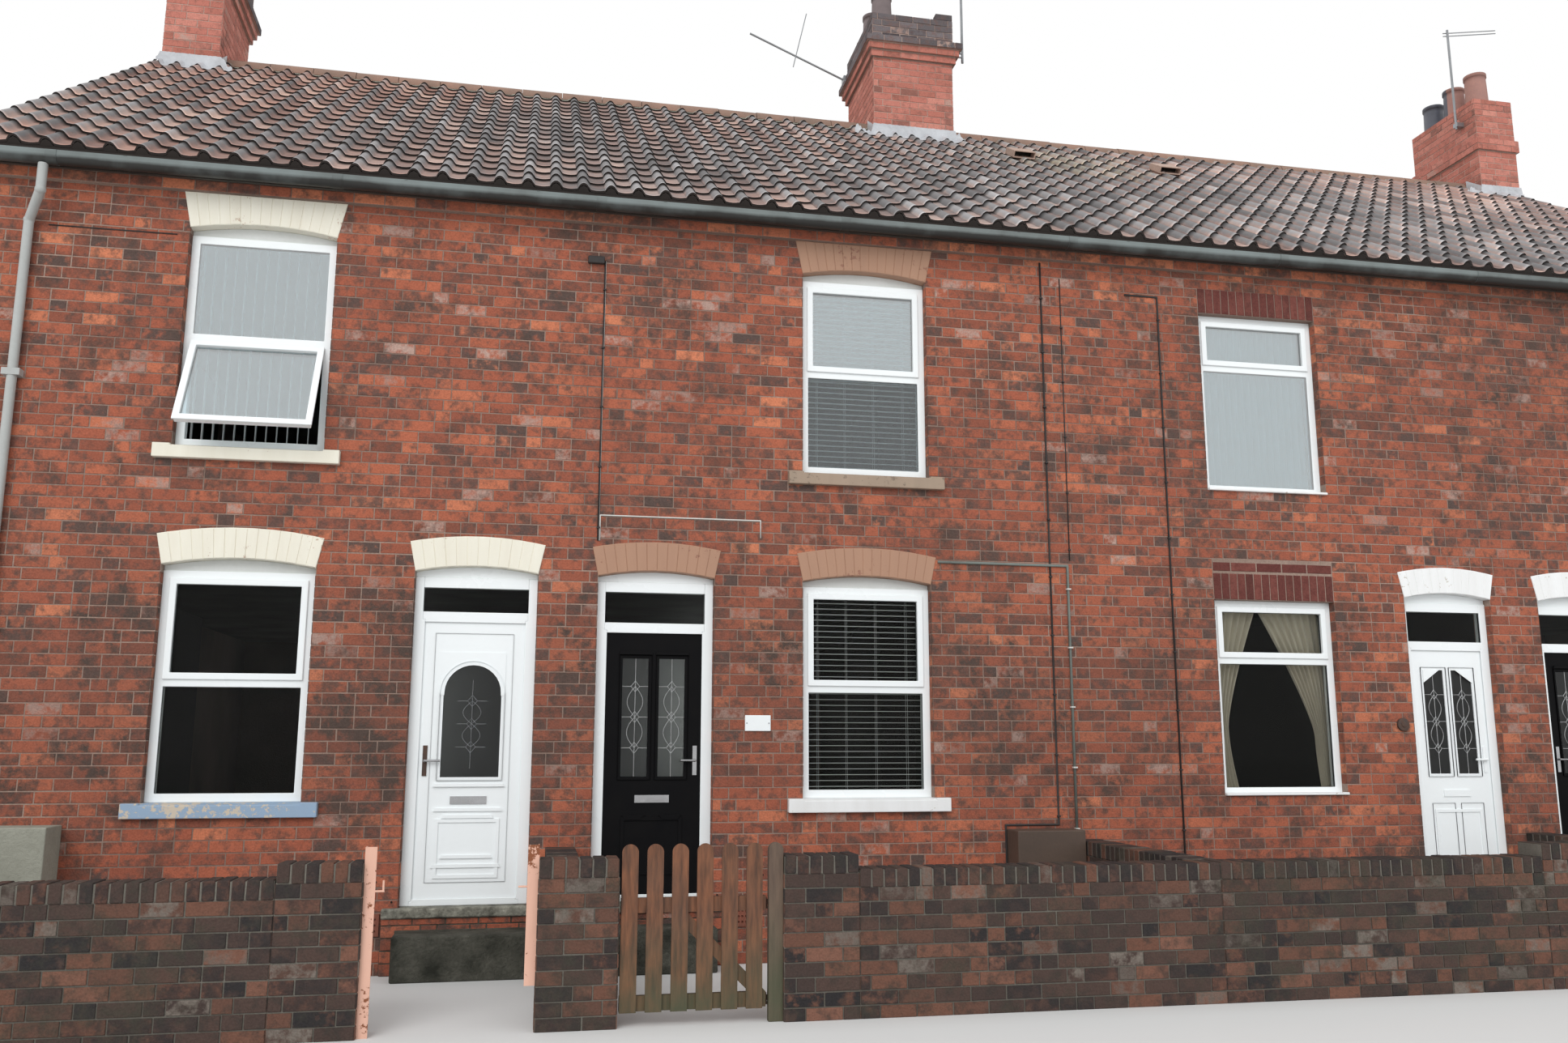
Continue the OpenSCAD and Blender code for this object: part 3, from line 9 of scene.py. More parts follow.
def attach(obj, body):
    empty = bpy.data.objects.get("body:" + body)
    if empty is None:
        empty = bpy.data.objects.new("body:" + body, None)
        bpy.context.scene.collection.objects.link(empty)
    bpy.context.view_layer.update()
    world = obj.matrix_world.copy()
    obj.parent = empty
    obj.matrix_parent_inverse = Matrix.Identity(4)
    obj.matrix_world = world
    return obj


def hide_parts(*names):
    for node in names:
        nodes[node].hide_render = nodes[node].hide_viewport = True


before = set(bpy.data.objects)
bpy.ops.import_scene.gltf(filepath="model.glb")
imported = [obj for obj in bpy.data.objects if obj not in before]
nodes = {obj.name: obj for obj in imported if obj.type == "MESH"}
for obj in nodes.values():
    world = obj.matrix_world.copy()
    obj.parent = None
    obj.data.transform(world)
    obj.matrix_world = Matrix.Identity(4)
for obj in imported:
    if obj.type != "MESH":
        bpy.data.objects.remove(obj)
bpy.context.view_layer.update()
print("frame loaded")

# Places shared by the pieces, in metres, as in the model
row = {
    "houseWidth": 4.15, "rowHalf": 8.62, "depth": 9.2, "face": -0.1125, "setOutDoor": 0.9, "setOutWindow": 1.055,
    "doorPier": 0.448, "doorToWindow": 0.703, "course": 0.0857, "joint": 0.0075, "brick": 0.229,
    "doors": [0.90, 0.90, 0.86, 0.86], "windows": [1.055, 1.055, 1.13, 1.055],
    "doorFoot": 0.46, "plinth": 0.39, "lowSill": 1.20, "lowHead": 2.88, "upSill": 3.76, "upHead": 5.435,
    "rise": 0.055, "doorRise": 0.04675, "archDepth": 0.225, "reveal": 0.07, "sillHeight": 0.104,
    "flatDropLow": 0.058, "flatDropUp": 0.085, "flatHouse": 2,
    "pitch": math.radians(34.5), "eavesTop": 5.867, "eavesOut": 0.24, "roofThick": 0.08,
    "eavesCourse": 5.716, "vergeOut": 0.055,
}
rearFace = row["face"] + row["depth"]
ridgeY = row["face"] + row["depth"] / 2
slope = math.tan(row["pitch"])
houseSide = [-1, 1, -1, 1]
partyX = [side * row["houseWidth"] for side in (-1, -1, 1, 1)]


def doorX(i):
    return partyX[i] + houseSide[i] * (row["doorPier"] + row["setOutDoor"]) / 2


def windowX(i):
    beside = row["doorPier"] / 2 + row["setOutDoor"] + row["doorToWindow"]
    return partyX[i] + houseSide[i] * (beside + row["setOutWindow"] / 2)


def houseOf(x):
    return sum(x >= wallX for wallX in (-row["houseWidth"], 0, row["houseWidth"]))


def roofTop(y):
    y = min(y, 2 * ridgeY - y)
    return row["eavesTop"] + (y - row["face"] + row["eavesOut"]) * slope


def roofUnder(y):
    return roofTop(y) - row["roofThick"] / math.cos(row["pitch"])


def addNode(tree, kind, inputs=None, **settings):
    node = tree.nodes.new(kind)
    for key, value in settings.items():
        setattr(node, key, value)
    for key, value in (inputs or {}).items():
        if isinstance(value, bpy.types.NodeSocket):
            tree.links.new(value, node.inputs[key])
        else:
            node.inputs[key].default_value = value
    return node


def mixColors(tree, factor, a, b, blend="MIX"):
    node = addNode(tree, "ShaderNodeMix", data_type="RGBA", blend_type=blend)
    for index, value in ((0, factor), (6, a), (7, b)):
        if isinstance(value, bpy.types.NodeSocket):
            tree.links.new(value, node.inputs[index])
        elif index:
            node.inputs[index].default_value = (*value, 1)
        else:
            node.inputs[index].default_value = value
    return node.outputs[2]


def mathNode(tree, operation, a, b=0.0, clamp=False):
    node = addNode(tree, "ShaderNodeMath", {0: a, 1: b}, operation=operation)
    node.use_clamp = clamp
    return node.outputs[0]


def times(tree, a, b, clamp=False):
    return mathNode(tree, "MULTIPLY", a, b, clamp)


def plus(tree, a, b, clamp=False):
    return mathNode(tree, "ADD", a, b, clamp)


def minus(tree, a, b, clamp=False):
    return mathNode(tree, "SUBTRACT", a, b, clamp)


def mapRange(tree, value, low, high, toLow=0.0, toHigh=1.0):
    return addNode(tree, "ShaderNodeMapRange", {"Value": value, "From Min": low, "From Max": high,
                                                "To Min": toLow, "To Max": toHigh}).outputs["Result"]


def colorRamp(tree, factor, stops):
    node = addNode(tree, "ShaderNodeValToRGB", {"Fac": factor})
    while len(node.color_ramp.elements) < len(stops):
        node.color_ramp.elements.new(0.5)
    for element, (place, color) in zip(node.color_ramp.elements, stops):
        element.position = place
        element.color = (*color, 1)
    return node.outputs["Color"]


# A colour made lighter or darker by a value round 1
def shadeBy(tree, color, value):
    grey = addNode(tree, "ShaderNodeCombineColor", {0: value, 1: value, 2: value}).outputs[0]
    return mixColors(tree, 1.0, color, grey, "MULTIPLY")


def noise(tree, coords, scale, detail=4.0, rough=0.6):
    return addNode(tree, "ShaderNodeTexNoise", {"Vector": coords, "Scale": scale, "Detail": detail,
                                                "Roughness": rough}).outputs["Fac"]


def objectCoords(tree):
    return addNode(tree, "ShaderNodeTexCoord").outputs["Object"]


def placeAxis(tree, coords, axis):
    return addNode(tree, "ShaderNodeSeparateXYZ", {"Vector": coords}).outputs[axis]


def attribute(tree, name):
    return addNode(tree, "ShaderNodeAttribute", attribute_name=name).outputs["Fac"]


# One group for weather on every outdoor surface: soft patches, streaks that run down, and fine grain
def buildWeatherGroup():
    group = bpy.data.node_groups.new("weatherMarks", "ShaderNodeTree")
    group.interface.new_socket("Vector", in_out="INPUT", socket_type="NodeSocketVector")
    for name, value in (("Patch Scale", 0.8), ("Streak Scale", 3.0), ("Grain Scale", 90.0)):
        group.interface.new_socket(name, in_out="INPUT", socket_type="NodeSocketFloat").default_value = value
    for name in ("Patches", "Streaks", "Grain"):
        group.interface.new_socket(name, in_out="OUTPUT", socket_type="NodeSocketFloat")
    start = group.nodes.new("NodeGroupInput").outputs
    end = group.nodes.new("NodeGroupOutput")
    patches = noise(group, start["Vector"], start["Patch Scale"], 5.0)
    tall = addNode(group, "ShaderNodeMapping", {"Vector": start["Vector"], "Scale": (1.0, 1.0, 0.14)})
    streaks = noise(group, tall.outputs[0], start["Streak Scale"], 3.0, 0.55)
    grain = noise(group, start["Vector"], start["Grain Scale"], 3.0, 0.65)
    for name, value in (("Patches", patches), ("Streaks", streaks), ("Grain", grain)):
        group.links.new(mapRange(group, value, 0.3, 0.7), end.inputs[name])
    return group


weatherGroup = buildWeatherGroup()


def weather(tree, coords, patch=0.8, streak=3.0, grain=90.0):
    node = addNode(tree, "ShaderNodeGroup", node_tree=weatherGroup)
    tree.links.new(coords, node.inputs["Vector"])
    node.inputs["Patch Scale"].default_value = patch
    node.inputs["Streak Scale"].default_value = streak
    node.inputs["Grain Scale"].default_value = grain
    return node.outputs


def startMaterial(name, roughness=0.8, metallic=0.0, specular=0.5):
    material = bpy.data.materials.new(name)
    material.use_nodes = True
    tree = material.node_tree
    surface = tree.nodes["Principled BSDF"]
    surface.inputs["Roughness"].default_value = roughness
    surface.inputs["Metallic"].default_value = metallic
    surface.inputs["Specular IOR Level"].default_value = specular
    return material, tree, surface


def addBump(tree, surface, height, strength=0.3, distance=0.002):
    bump = addNode(tree, "ShaderNodeBump", {"Height": height, "Strength": strength, "Distance": distance})
    tree.links.new(bump.outputs[0], surface.inputs["Normal"])


# Spread of the marks on bricks, and where the wall darkens to the right, by X, and in a band, by X and Z
brickLook = {"cloud": 12.0, "smudged": (0.49, 0.66), "burntFrom": (0.32, 0.52), "paleFrom": (0.40, 0.58),
             "sootSize": 4.5, "sootFrom": (0.50, 0.66), "grain": (0.80, 1.14), "rightX": (0.5, 6.0),
             "bandTop": (3.5, 2.5), "bandFoot": (1.0, 1.6), "bandX": (1.2, 0.2)}


# Brick: each has its own tone and smudges, some are burnt dark, some pale with bloom, soot gathers in patches.
# The attribute burnt is above 0 on a burnt brick and below 0 on a pale one.
def brickMaterial(name, stops, burntColor, soot, sootColor, smudge=(0.100, 0.072, 0.061), bloom=(0.50, 0.34, 0.285),
                  smudges=0.8, rightDark=0.0):
    material, tree, surface = startMaterial(name, 0.9, specular=0.2)
    coords = objectCoords(tree)
    tone = attribute(tree, "tone")
    marks = weather(tree, coords, 0.5, 2.2, 80.0)
    apart = times(tree, tone, 43.0)
    shift = addNode(tree, "ShaderNodeCombineXYZ", {"X": apart, "Z": apart})
    own = addNode(tree, "ShaderNodeVectorMath", {0: coords, 1: shift.outputs[0]}, operation="ADD")
    look = brickLook
    cloud = noise(tree, own.outputs[0], look["cloud"], 4.0, 0.68)
    color = colorRamp(tree, tone, stops)
    color = mixColors(tree, mapRange(tree, cloud, *look["smudged"], 0.0, smudges), color, smudge)
    state = attribute(tree, "burnt")
    burnt = times(tree, mathNode(tree, "MAXIMUM", state, 0.0), mapRange(tree, cloud, *look["burntFrom"]))
    color = mixColors(tree, burnt, color, burntColor)
    pale = times(tree, times(tree, state, -1.0, True), mapRange(tree, cloud, *look["paleFrom"]))
    color = mixColors(tree, pale, color, bloom)
    # Soot lies over many bricks at once, ragged at its edges
    ragged = noise(tree, coords, look["sootSize"], 7.0, 0.72)
    ragged = plus(tree, ragged, times(tree, minus(tree, marks["Patches"], 0.5), 0.16))
    sootMask = mapRange(tree, ragged, *look["sootFrom"], 0.0, soot)
    if rightDark:
        across, height = placeAxis(tree, coords, 0), placeAxis(tree, coords, 2)
        side = mapRange(tree, across, *look["rightX"], 0.0, rightDark)
        band = times(tree, mapRange(tree, height, *look["bandTop"]), mapRange(tree, height, *look["bandFoot"]))
        band = times(tree, band, mapRange(tree, across, *look["bandX"], 0.0, rightDark * 1.5))
        side = plus(tree, side, band)
        sootMask = plus(tree, sootMask, times(tree, side, marks["Patches"]), True)
    color = mixColors(tree, sootMask, color, sootColor)
    grain = mapRange(tree, marks["Grain"], 0.0, 1.0, *look["grain"])
    tree.links.new(shadeBy(tree, color, grain), surface.inputs["Base Color"])
    addBump(tree, surface, plus(tree, marks["Grain"], cloud), 0.6, 0.004)
    return material


def plainMaterial(name, color, dark, roughness=0.8, amount=0.35, patch=1.5, streak=4.0, grain=120.0,
                  bump=0.2, distance=0.002, metallic=0.0, specular=0.5, streaks=0.0):
    material, tree, surface = startMaterial(name, roughness, metallic, specular)
    marks = weather(tree, objectCoords(tree), patch, streak, grain)
    shade = mixColors(tree, times(tree, marks["Patches"], amount), color, dark)
    shade = mixColors(tree, times(tree, marks["Grain"], amount * 0.5), shade, dark)
    if streaks:
        shade = mixColors(tree, times(tree, marks["Streaks"], streaks), shade, dark)
    tree.links.new(shade, surface.inputs["Base Color"])
    rough = mapRange(tree, marks["Patches"], 0.0, 1.0, max(roughness - 0.08, 0.03), min(roughness + 0.1, 1.0))
    tree.links.new(rough, surface.inputs["Roughness"])
    addBump(tree, surface, marks["Grain"], bump, distance)
    return material


# Flaking paint: chips of what lies under it show where two noises meet
def flakingMaterial(name, color, under, chips=0.12, roughness=0.6, grime=(0.40, 0.36, 0.28), amount=0.25):
    material, tree, surface = startMaterial(name, roughness)
    coords = objectCoords(tree)
    marks = weather(tree, coords, 3.0, 9.0, 60.0)
    shade = mixColors(tree, times(tree, marks["Streaks"], amount), color, grime)
    fine = noise(tree, coords, 26.0, 6.0, 0.7)
    wide = noise(tree, coords, 2.6, 2.0, 0.5)
    mask = mapRange(tree, plus(tree, fine, times(tree, wide, 0.6)), 1.0 - chips, 1.02 - chips)
    shade = mixColors(tree, mask, shade, under)
    tree.links.new(shade, surface.inputs["Base Color"])
    tree.links.new(mapRange(tree, mask, 0.0, 1.0, roughness, 0.9), surface.inputs["Roughness"])
    addBump(tree, surface, minus(tree, times(tree, marks["Grain"], 0.4), mask), 0.5, 0.0015)
    return material


wallStops = [(0.0, (0.190, 0.076, 0.054)), (0.22, (0.295, 0.096, 0.061)), (0.5, (0.370, 0.112, 0.067)),
             (0.8, (0.455, 0.142, 0.080)), (1.0, (0.640, 0.225, 0.120))]
wallBrick = brickMaterial("redBrick", wallStops, (0.105, 0.073, 0.064), 0.80, (0.088, 0.062, 0.052), rightDark=0.42)
chimneyBrick = brickMaterial("chimneyBrick", [(0.0, (0.42, 0.155, 0.115)), (0.5, (0.53, 0.195, 0.150)),
                                              (1.0, (0.64, 0.275, 0.215))],
                             (0.26, 0.12, 0.095), 0.15, (0.32, 0.16, 0.13), smudges=0.40)
darkBrick = brickMaterial("darkBrick", [(0.0, (0.050, 0.038, 0.035)), (0.45, (0.082, 0.053, 0.044)),
                                        (0.7, (0.150, 0.072, 0.050)), (1.0, (0.215, 0.105, 0.074))],
                          (0.030, 0.028, 0.029), 0.60, (0.056, 0.054, 0.040), (0.045, 0.039, 0.034),
                          bloom=(0.20, 0.17, 0.145), smudges=0.65)
sootBrick = brickMaterial("sootBrick", [(0.0, (0.10, 0.088, 0.090)), (1.0, (0.20, 0.175, 0.18))],
                          (0.06, 0.05, 0.055), 0.4, (0.13, 0.12, 0.13), (0.20, 0.09, 0.065), smudges=0.5)
soldierBrick = brickMaterial("soldierBrick", [(0.0, (0.130, 0.042, 0.036)), (1.0, (0.210, 0.072, 0.058))],
                             (0.09, 0.035, 0.03), 0.2, (0.10, 0.04, 0.035), (0.08, 0.022, 0.02), smudges=0.4)
# After the two colours: roughness, share of the second one, sizes of its patches, streaks and grain, then the bump
mortar = plainMaterial("limeMortar", (0.43, 0.31, 0.25), (0.135, 0.090, 0.072), 0.95, 0.95, 0.55, 2.0, 60.0, 0.5, 0.004)
chimneyMortar = plainMaterial("chimneyMortar", (0.58, 0.44, 0.37), (0.30, 0.19, 0.155),
                              0.95, 0.9, 1.2, 2.0, 60.0, 0.5, 0.004)
paleMortar = plainMaterial("gardenMortar", (0.205, 0.190, 0.160), (0.070, 0.064, 0.054),
                           0.95, 0.7, 1.2, 3.0, 60.0, 0.5, 0.004)
creamPaint = flakingMaterial("creamPaint", (0.83, 0.80, 0.69), (0.55, 0.42, 0.32), 0.0, grime=(0.62, 0.55, 0.42))
brownPaint = flakingMaterial("brownPaint", (0.41, 0.235, 0.155), (0.30, 0.15, 0.105), 0.02, grime=(0.31, 0.175, 0.12))
brownSill = flakingMaterial("brownSill", (0.36, 0.27, 0.20), (0.22, 0.17, 0.13), 0.06, grime=(0.20, 0.16, 0.12))
whitePaint = flakingMaterial("whitePaint", (0.86, 0.87, 0.87), (0.55, 0.50, 0.43), 0.01, grime=(0.60, 0.58, 0.54))
bluePaint = flakingMaterial("bluePaint", (0.29, 0.41, 0.56), (0.60, 0.52, 0.42), 0.17, grime=(0.32, 0.34, 0.36))
plastic = plainMaterial("whitePlastic", (0.88, 0.92, 0.93), (0.78, 0.80, 0.80),
                        0.30, 0.18, 1.2, 5.0, 30.0, 0.04, 0.0005)
infillWhite = plainMaterial("infillBoard", (0.70, 0.72, 0.71), (0.52, 0.53, 0.50),
                            0.5, 0.4, 2.0, 5.0, 30.0, 0.04, 0.0005)
greyPlastic = plainMaterial("greyPlastic", (0.46, 0.48, 0.47), (0.30, 0.30, 0.28),
                            0.45, 0.35, 1.6, 4.0, 40.0, 0.08, 0.001, streaks=0.2)
fasciaPaint = plainMaterial("fasciaPaint", (0.022, 0.020, 0.018), (0.06, 0.055, 0.045),
                            0.6, 0.5, 3.0, 5.0, 60.0, 0.2, 0.001)
# Black roof felt, also standing as painted shade where the roof's slab shows at the eaves and between tiles
feltAndShade = plainMaterial("roofFeltAndShade", (0.018, 0.014, 0.012), (0.04, 0.032, 0.028), 0.95, 0.5, 4.0, 5.0, 60.0, 0.3, 0.002)
clay = plainMaterial("ridgeClay", (0.36, 0.205, 0.150), (0.17, 0.135, 0.110), 0.85, 0.75, 2.2, 4.0, 50.0, 0.5, 0.003)
paleClay = plainMaterial("paleClay", (0.52, 0.38, 0.31), (0.30, 0.20, 0.16), 0.85, 0.6, 5.0, 4.0, 50.0, 0.4, 0.003)
airClay = plainMaterial("airBrickClay", (0.27, 0.085, 0.052), (0.11, 0.060, 0.045),
                        0.85, 0.6, 6.0, 4.0, 70.0, 0.5, 0.003)
potClay = plainMaterial("potClay", (0.46, 0.235, 0.185), (0.24, 0.15, 0.14),
                        0.8, 0.5, 5.0, 6.0, 50.0, 0.3, 0.002, streaks=0.35)
potSoot = plainMaterial("potSoot", (0.24, 0.19, 0.19), (0.13, 0.11, 0.11),
                        0.85, 0.5, 5.0, 6.0, 50.0, 0.3, 0.002, streaks=0.35)
potBlack = plainMaterial("potBlack", (0.12, 0.125, 0.155), (0.045, 0.045, 0.05), 0.45, 0.5, 6.0, 6.0, 50.0, 0.2, 0.002)
leadGrey = plainMaterial("dressedLead", (0.42, 0.43, 0.45), (0.68, 0.70, 0.73),
                         0.5, 0.7, 6.0, 6.0, 30.0, 0.4, 0.003, metallic=0.2)
steel = plainMaterial("dullSteel", (0.36, 0.38, 0.40), (0.20, 0.19, 0.18),
                      0.42, 0.4, 6.0, 6.0, 60.0, 0.1, 0.001, metallic=0.7)
chrome = plainMaterial("brightMetal", (0.46, 0.46, 0.47), (0.28, 0.28, 0.28),
                       0.24, 0.15, 6.0, 6.0, 60.0, 0.03, 0.0005, metallic=1.0)
ironBlack = plainMaterial("blackIron", (0.045, 0.040, 0.038), (0.15, 0.065, 0.035),
                          0.7, 0.5, 20.0, 6.0, 90.0, 0.4, 0.002)
pinkPaint = flakingMaterial("pinkPaint", (0.78, 0.47, 0.36), (0.24, 0.085, 0.040), 0.14, 0.5, (0.48, 0.24, 0.16), 0.35)
concrete = plainMaterial("wornConcrete", (0.125, 0.120, 0.097), (0.022, 0.023, 0.017),
                         0.92, 1.0, 5.0, 4.0, 45.0, 0.8, 0.008)
slabStone = plainMaterial("lichenSlab", (0.42, 0.41, 0.34), (0.045, 0.042, 0.033),
                          0.92, 1.0, 9.0, 4.0, 45.0, 0.7, 0.006)
paleConcrete = plainMaterial("castConcrete", (0.37, 0.37, 0.31), (0.20, 0.20, 0.16),
                             0.9, 0.5, 3.0, 4.0, 45.0, 0.6, 0.005)
boxBrown = plainMaterial("brownBox", (0.105, 0.070, 0.052), (0.055, 0.042, 0.034),
                         0.55, 0.5, 3.0, 4.0, 45.0, 0.2, 0.002)
stone = plainMaterial("rearStone", (0.36, 0.33, 0.27), (0.20, 0.175, 0.14),
                      0.85, 0.45, 2.5, 3.0, 50.0, 0.5, 0.004, streaks=0.2)
# Plaster inside the rooms, made nearly black as painted shade
plasterInShade = plainMaterial("roomPlasterInShade", (0.040, 0.034, 0.030), (0.030, 0.025, 0.022),
                        0.9, 0.3, 0.8, 3.0, 50.0, 0.2, 0.002)
boards = plainMaterial("floorBoards", (0.045, 0.030, 0.020), (0.025, 0.016, 0.010),
                       0.6, 0.5, 2.0, 3.0, 60.0, 0.2, 0.002)
greenPaint = plainMaterial("greenPaint", (0.045, 0.095, 0.070), (0.025, 0.05, 0.04),
                           0.4, 0.4, 3.0, 5.0, 60.0, 0.15, 0.001, streaks=0.2)
blackLeaf = plainMaterial("blackLeaf", (0.007, 0.007, 0.008), (0.014, 0.013, 0.012),
                          0.42, 0.3, 6.0, 60.0, 200.0, 0.1, 0.0006, specular=0.03)
blackCable = plainMaterial("blackCable", (0.022, 0.020, 0.020), (0.06, 0.05, 0.045),
                           0.6, 0.4, 6.0, 6.0, 60.0, 0.1, 0.001)
whiteCable = plainMaterial("whiteCable", (0.66, 0.65, 0.62), (0.45, 0.42, 0.38), 0.5, 0.3, 6.0, 6.0, 60.0, 0.1, 0.001)
conduitGrey = plainMaterial("conduitGrey", (0.115, 0.135, 0.125), (0.26, 0.28, 0.25),
                            0.5, 0.6, 3.0, 6.0, 60.0, 0.1, 0.001)
slatWhite = plainMaterial("slatWhite", (0.84, 0.86, 0.86), (0.74, 0.76, 0.76), 0.5, 0.2, 5.0, 5.0, 60.0, 0.05, 0.0005)
# Near black for holes and slots, as painted shade inside them
holeShade = plainMaterial("paintedHoleShade", (0.012, 0.010, 0.009), (0.02, 0.016, 0.014), 0.95, 0.3, 9.0, 9.0, 90.0, 0.1, 0.001)


# The gutter: pale and chalky at the rim, its underside painted near black (the damp colour) as painted shade
gutterLook = {"chalk": ((0.21, 0.25, 0.25), (0.33, 0.38, 0.37)), "damp": (0.022, 0.022, 0.020),
              "undersideShadeFrom": (0.30, -0.42)}


def gutterMaterial():
    material, tree, surface = startMaterial("gutterPaint", 0.5)
    marks = weather(tree, objectCoords(tree), 1.4, 5.0, 40.0)
    # Painted shade: faces that look down are darkened, their edge made ragged by the patches
    facing = placeAxis(tree, addNode(tree, "ShaderNodeNewGeometry").outputs["Normal"], 2)
    low = mapRange(tree, facing, *gutterLook["undersideShadeFrom"])
    low = plus(tree, low, times(tree, minus(tree, marks["Patches"], 0.5), 0.7), True)
    color = mixColors(tree, marks["Patches"], *gutterLook["chalk"])
    color = mixColors(tree, low, color, gutterLook["damp"])
    tree.links.new(color, surface.inputs["Base Color"])
    addBump(tree, surface, marks["Grain"], 0.2, 0.001)
    return material


# Timber with grain along Z, red-brown above, grey-green and mossy towards the ground
timberLook = {"knots": (0.070, 0.052, 0.040), "moss": (0.062, 0.075, 0.040), "mossFrom": 0.12, "mossMost": 0.85}


def timberMaterial(name, light, dark, mossTop):
    material, tree, surface = startMaterial(name, 0.75)
    coords = objectCoords(tree)
    marks = weather(tree, coords, 3.0, 40.0, 160.0)
    color = mixColors(tree, marks["Streaks"], dark, light)
    color = mixColors(tree, times(tree, marks["Patches"], 0.5), color, timberLook["knots"])
    low = mapRange(tree, placeAxis(tree, coords, 2), timberLook["mossFrom"], mossTop, timberLook["mossMost"], 0.0)
    low = times(tree, low, mapRange(tree, marks["Patches"], 0.0, 1.0, 0.5, 1.0))
    color = mixColors(tree, low, color, timberLook["moss"])
    tree.links.new(color, surface.inputs["Base Color"])
    addBump(tree, surface, marks["Streaks"], 0.5, 0.003)
    return material


# Tiles: dark weathered grey over clay, pinkish at the right and near the ridge, lichen below the middle stack.
# A range has its two places and the two amounts there.
tileLook = {"clay": [(0.0, (0.30, 0.160, 0.125)), (0.5, (0.47, 0.270, 0.215)), (1.0, (0.64, 0.44, 0.36))],
            "grey": [(0.0, (0.125, 0.120, 0.120)), (0.6, (0.225, 0.216, 0.217)), (1.0, (0.37, 0.355, 0.355))],
            "right": (-1.0, 4.5, 0.0, 0.34), "left": (-4.4, -7.4, 0.0, 0.44), "upward": (7.2, 9.1, -0.10, 0.26),
            "pans": (0.08, 0.9, 0.42, -0.40), "less": 0.18, "patches": 0.52, "single": 0.40, "fine": 1.3,
            "spots": 30.0, "spotFrom": (0.28, 0.10), "lichen": (0.40, 0.36, 0.30), "yellow": (0.36, 0.32, 0.23),
            "yellowPlace": (1.6, 3.2, 8.3), "yellowFrom": (1.3, 0.2, 0.0, 0.80),
            # The last three ranges are painted light: shade in the pans with light on the rolls' tops, shadow under the
            # next tile's tail, and a highlight on the tail's edge
            "panShadeRollLight": (0.10, 0.80, 0.90, 1.16), "tailShadow": (0.60, 0.88, 1.0, 0.16),
            "edge": (0.14, 0.0, 1.0, 1.8)}


def tileMaterial(name):
    material, tree, surface = startMaterial(name, 0.9, specular=0.2)
    look, coords = tileLook, objectCoords(tree)
    marks = weather(tree, coords, 0.30, 1.4, 60.0)
    tone, wave, along = attribute(tree, "tone"), attribute(tree, "wave"), attribute(tree, "along")
    across, height = placeAxis(tree, coords, 0), placeAxis(tree, coords, 2)
    fine = noise(tree, coords, 8.0, 5.0, 0.7)
    ends = plus(tree, mapRange(tree, across, *look["right"]), mapRange(tree, across, *look["left"]))
    ends = plus(tree, ends, mapRange(tree, height, *look["upward"]))
    mask = plus(tree, times(tree, marks["Patches"], look["patches"]), ends)
    mask = plus(tree, mask, times(tree, minus(tree, tone, 0.5), look["single"]))
    mask = plus(tree, mask, times(tree, minus(tree, fine, 0.5), look["fine"]))
    mask = plus(tree, mask, mapRange(tree, wave, *look["pans"]))
    mask = minus(tree, mask, look["less"], True)
    color = mixColors(tree, mask, colorRamp(tree, tone, look["grey"]), colorRamp(tree, tone, look["clay"]))
    spots = addNode(tree, "ShaderNodeTexVoronoi", {"Vector": coords, "Scale": look["spots"]}).outputs["Distance"]
    lichen = times(tree, mapRange(tree, spots, *look["spotFrom"]), mapRange(tree, fine, 0.5, 0.7, 0.0, 0.5))
    color = mixColors(tree, lichen, color, look["lichen"])
    away = addNode(tree, "ShaderNodeVectorMath", {0: coords, 1: look["yellowPlace"]}, operation="DISTANCE")
    away = plus(tree, away.outputs["Value"], times(tree, minus(tree, noise(tree, coords, 1.7, 4.0, 0.7), 0.5), 3.4))
    yellow = times(tree, mapRange(tree, away, *look["yellowFrom"]), mapRange(tree, fine, 0.40, 0.60))
    color = mixColors(tree, yellow, color, look["yellow"])
    # Painted light: shade in the pans and light on the rolls' tops, a painted shadow under the next tile's tail, and a
    # painted highlight on the tail's own edge
    paintedLight = times(tree, mapRange(tree, wave, *look["panShadeRollLight"]), mapRange(tree, along, *look["tailShadow"]))
    paintedLight = times(tree, paintedLight, mapRange(tree, along, *look["edge"]))
    tree.links.new(shadeBy(tree, color, paintedLight), surface.inputs["Base Color"])
    addBump(tree, surface, plus(tree, marks["Grain"], fine), 0.5, 0.003)
    return material


# Clear panes: the upper ones mirror more of the sky, and their blue tint is painted sky reflection
def glassMaterial(name, tint=(0.86, 0.92, 0.93), frost=0.0, lowIor=1.16, lowTint=(0.90, 0.92, 0.90), coat=0.15,
                  coatIor=3.0):
    material, tree, surface = startMaterial(name, 0.02 + frost)
    coords = objectCoords(tree)
    marks = weather(tree, coords, 3.0, 3.0, 30.0)
    surface.inputs["Transmission Weight"].default_value = 1.0
    surface.inputs["Coat IOR"].default_value = coatIor
    surface.inputs["Coat Roughness"].default_value = 0.02
    height = placeAxis(tree, coords, 2)
    upper = mapRange(tree, height, 3.2, 3.4)
    color = mixColors(tree, upper, lowTint, tint)
    color = mixColors(tree, times(tree, marks["Patches"], 0.1), color, (0.70, 0.74, 0.72))
    tree.links.new(color, surface.inputs["Base Color"])
    tree.links.new(times(tree, upper, coat), surface.inputs["Coat Weight"])
    tree.links.new(mapRange(tree, upper, 0.0, 1.0, lowIor, 1.5), surface.inputs["IOR"])
    tree.links.new(mapRange(tree, marks["Patches"], 0.0, 1.0, 0.01 + frost, 0.04 + frost), surface.inputs["Roughness"])
    return material


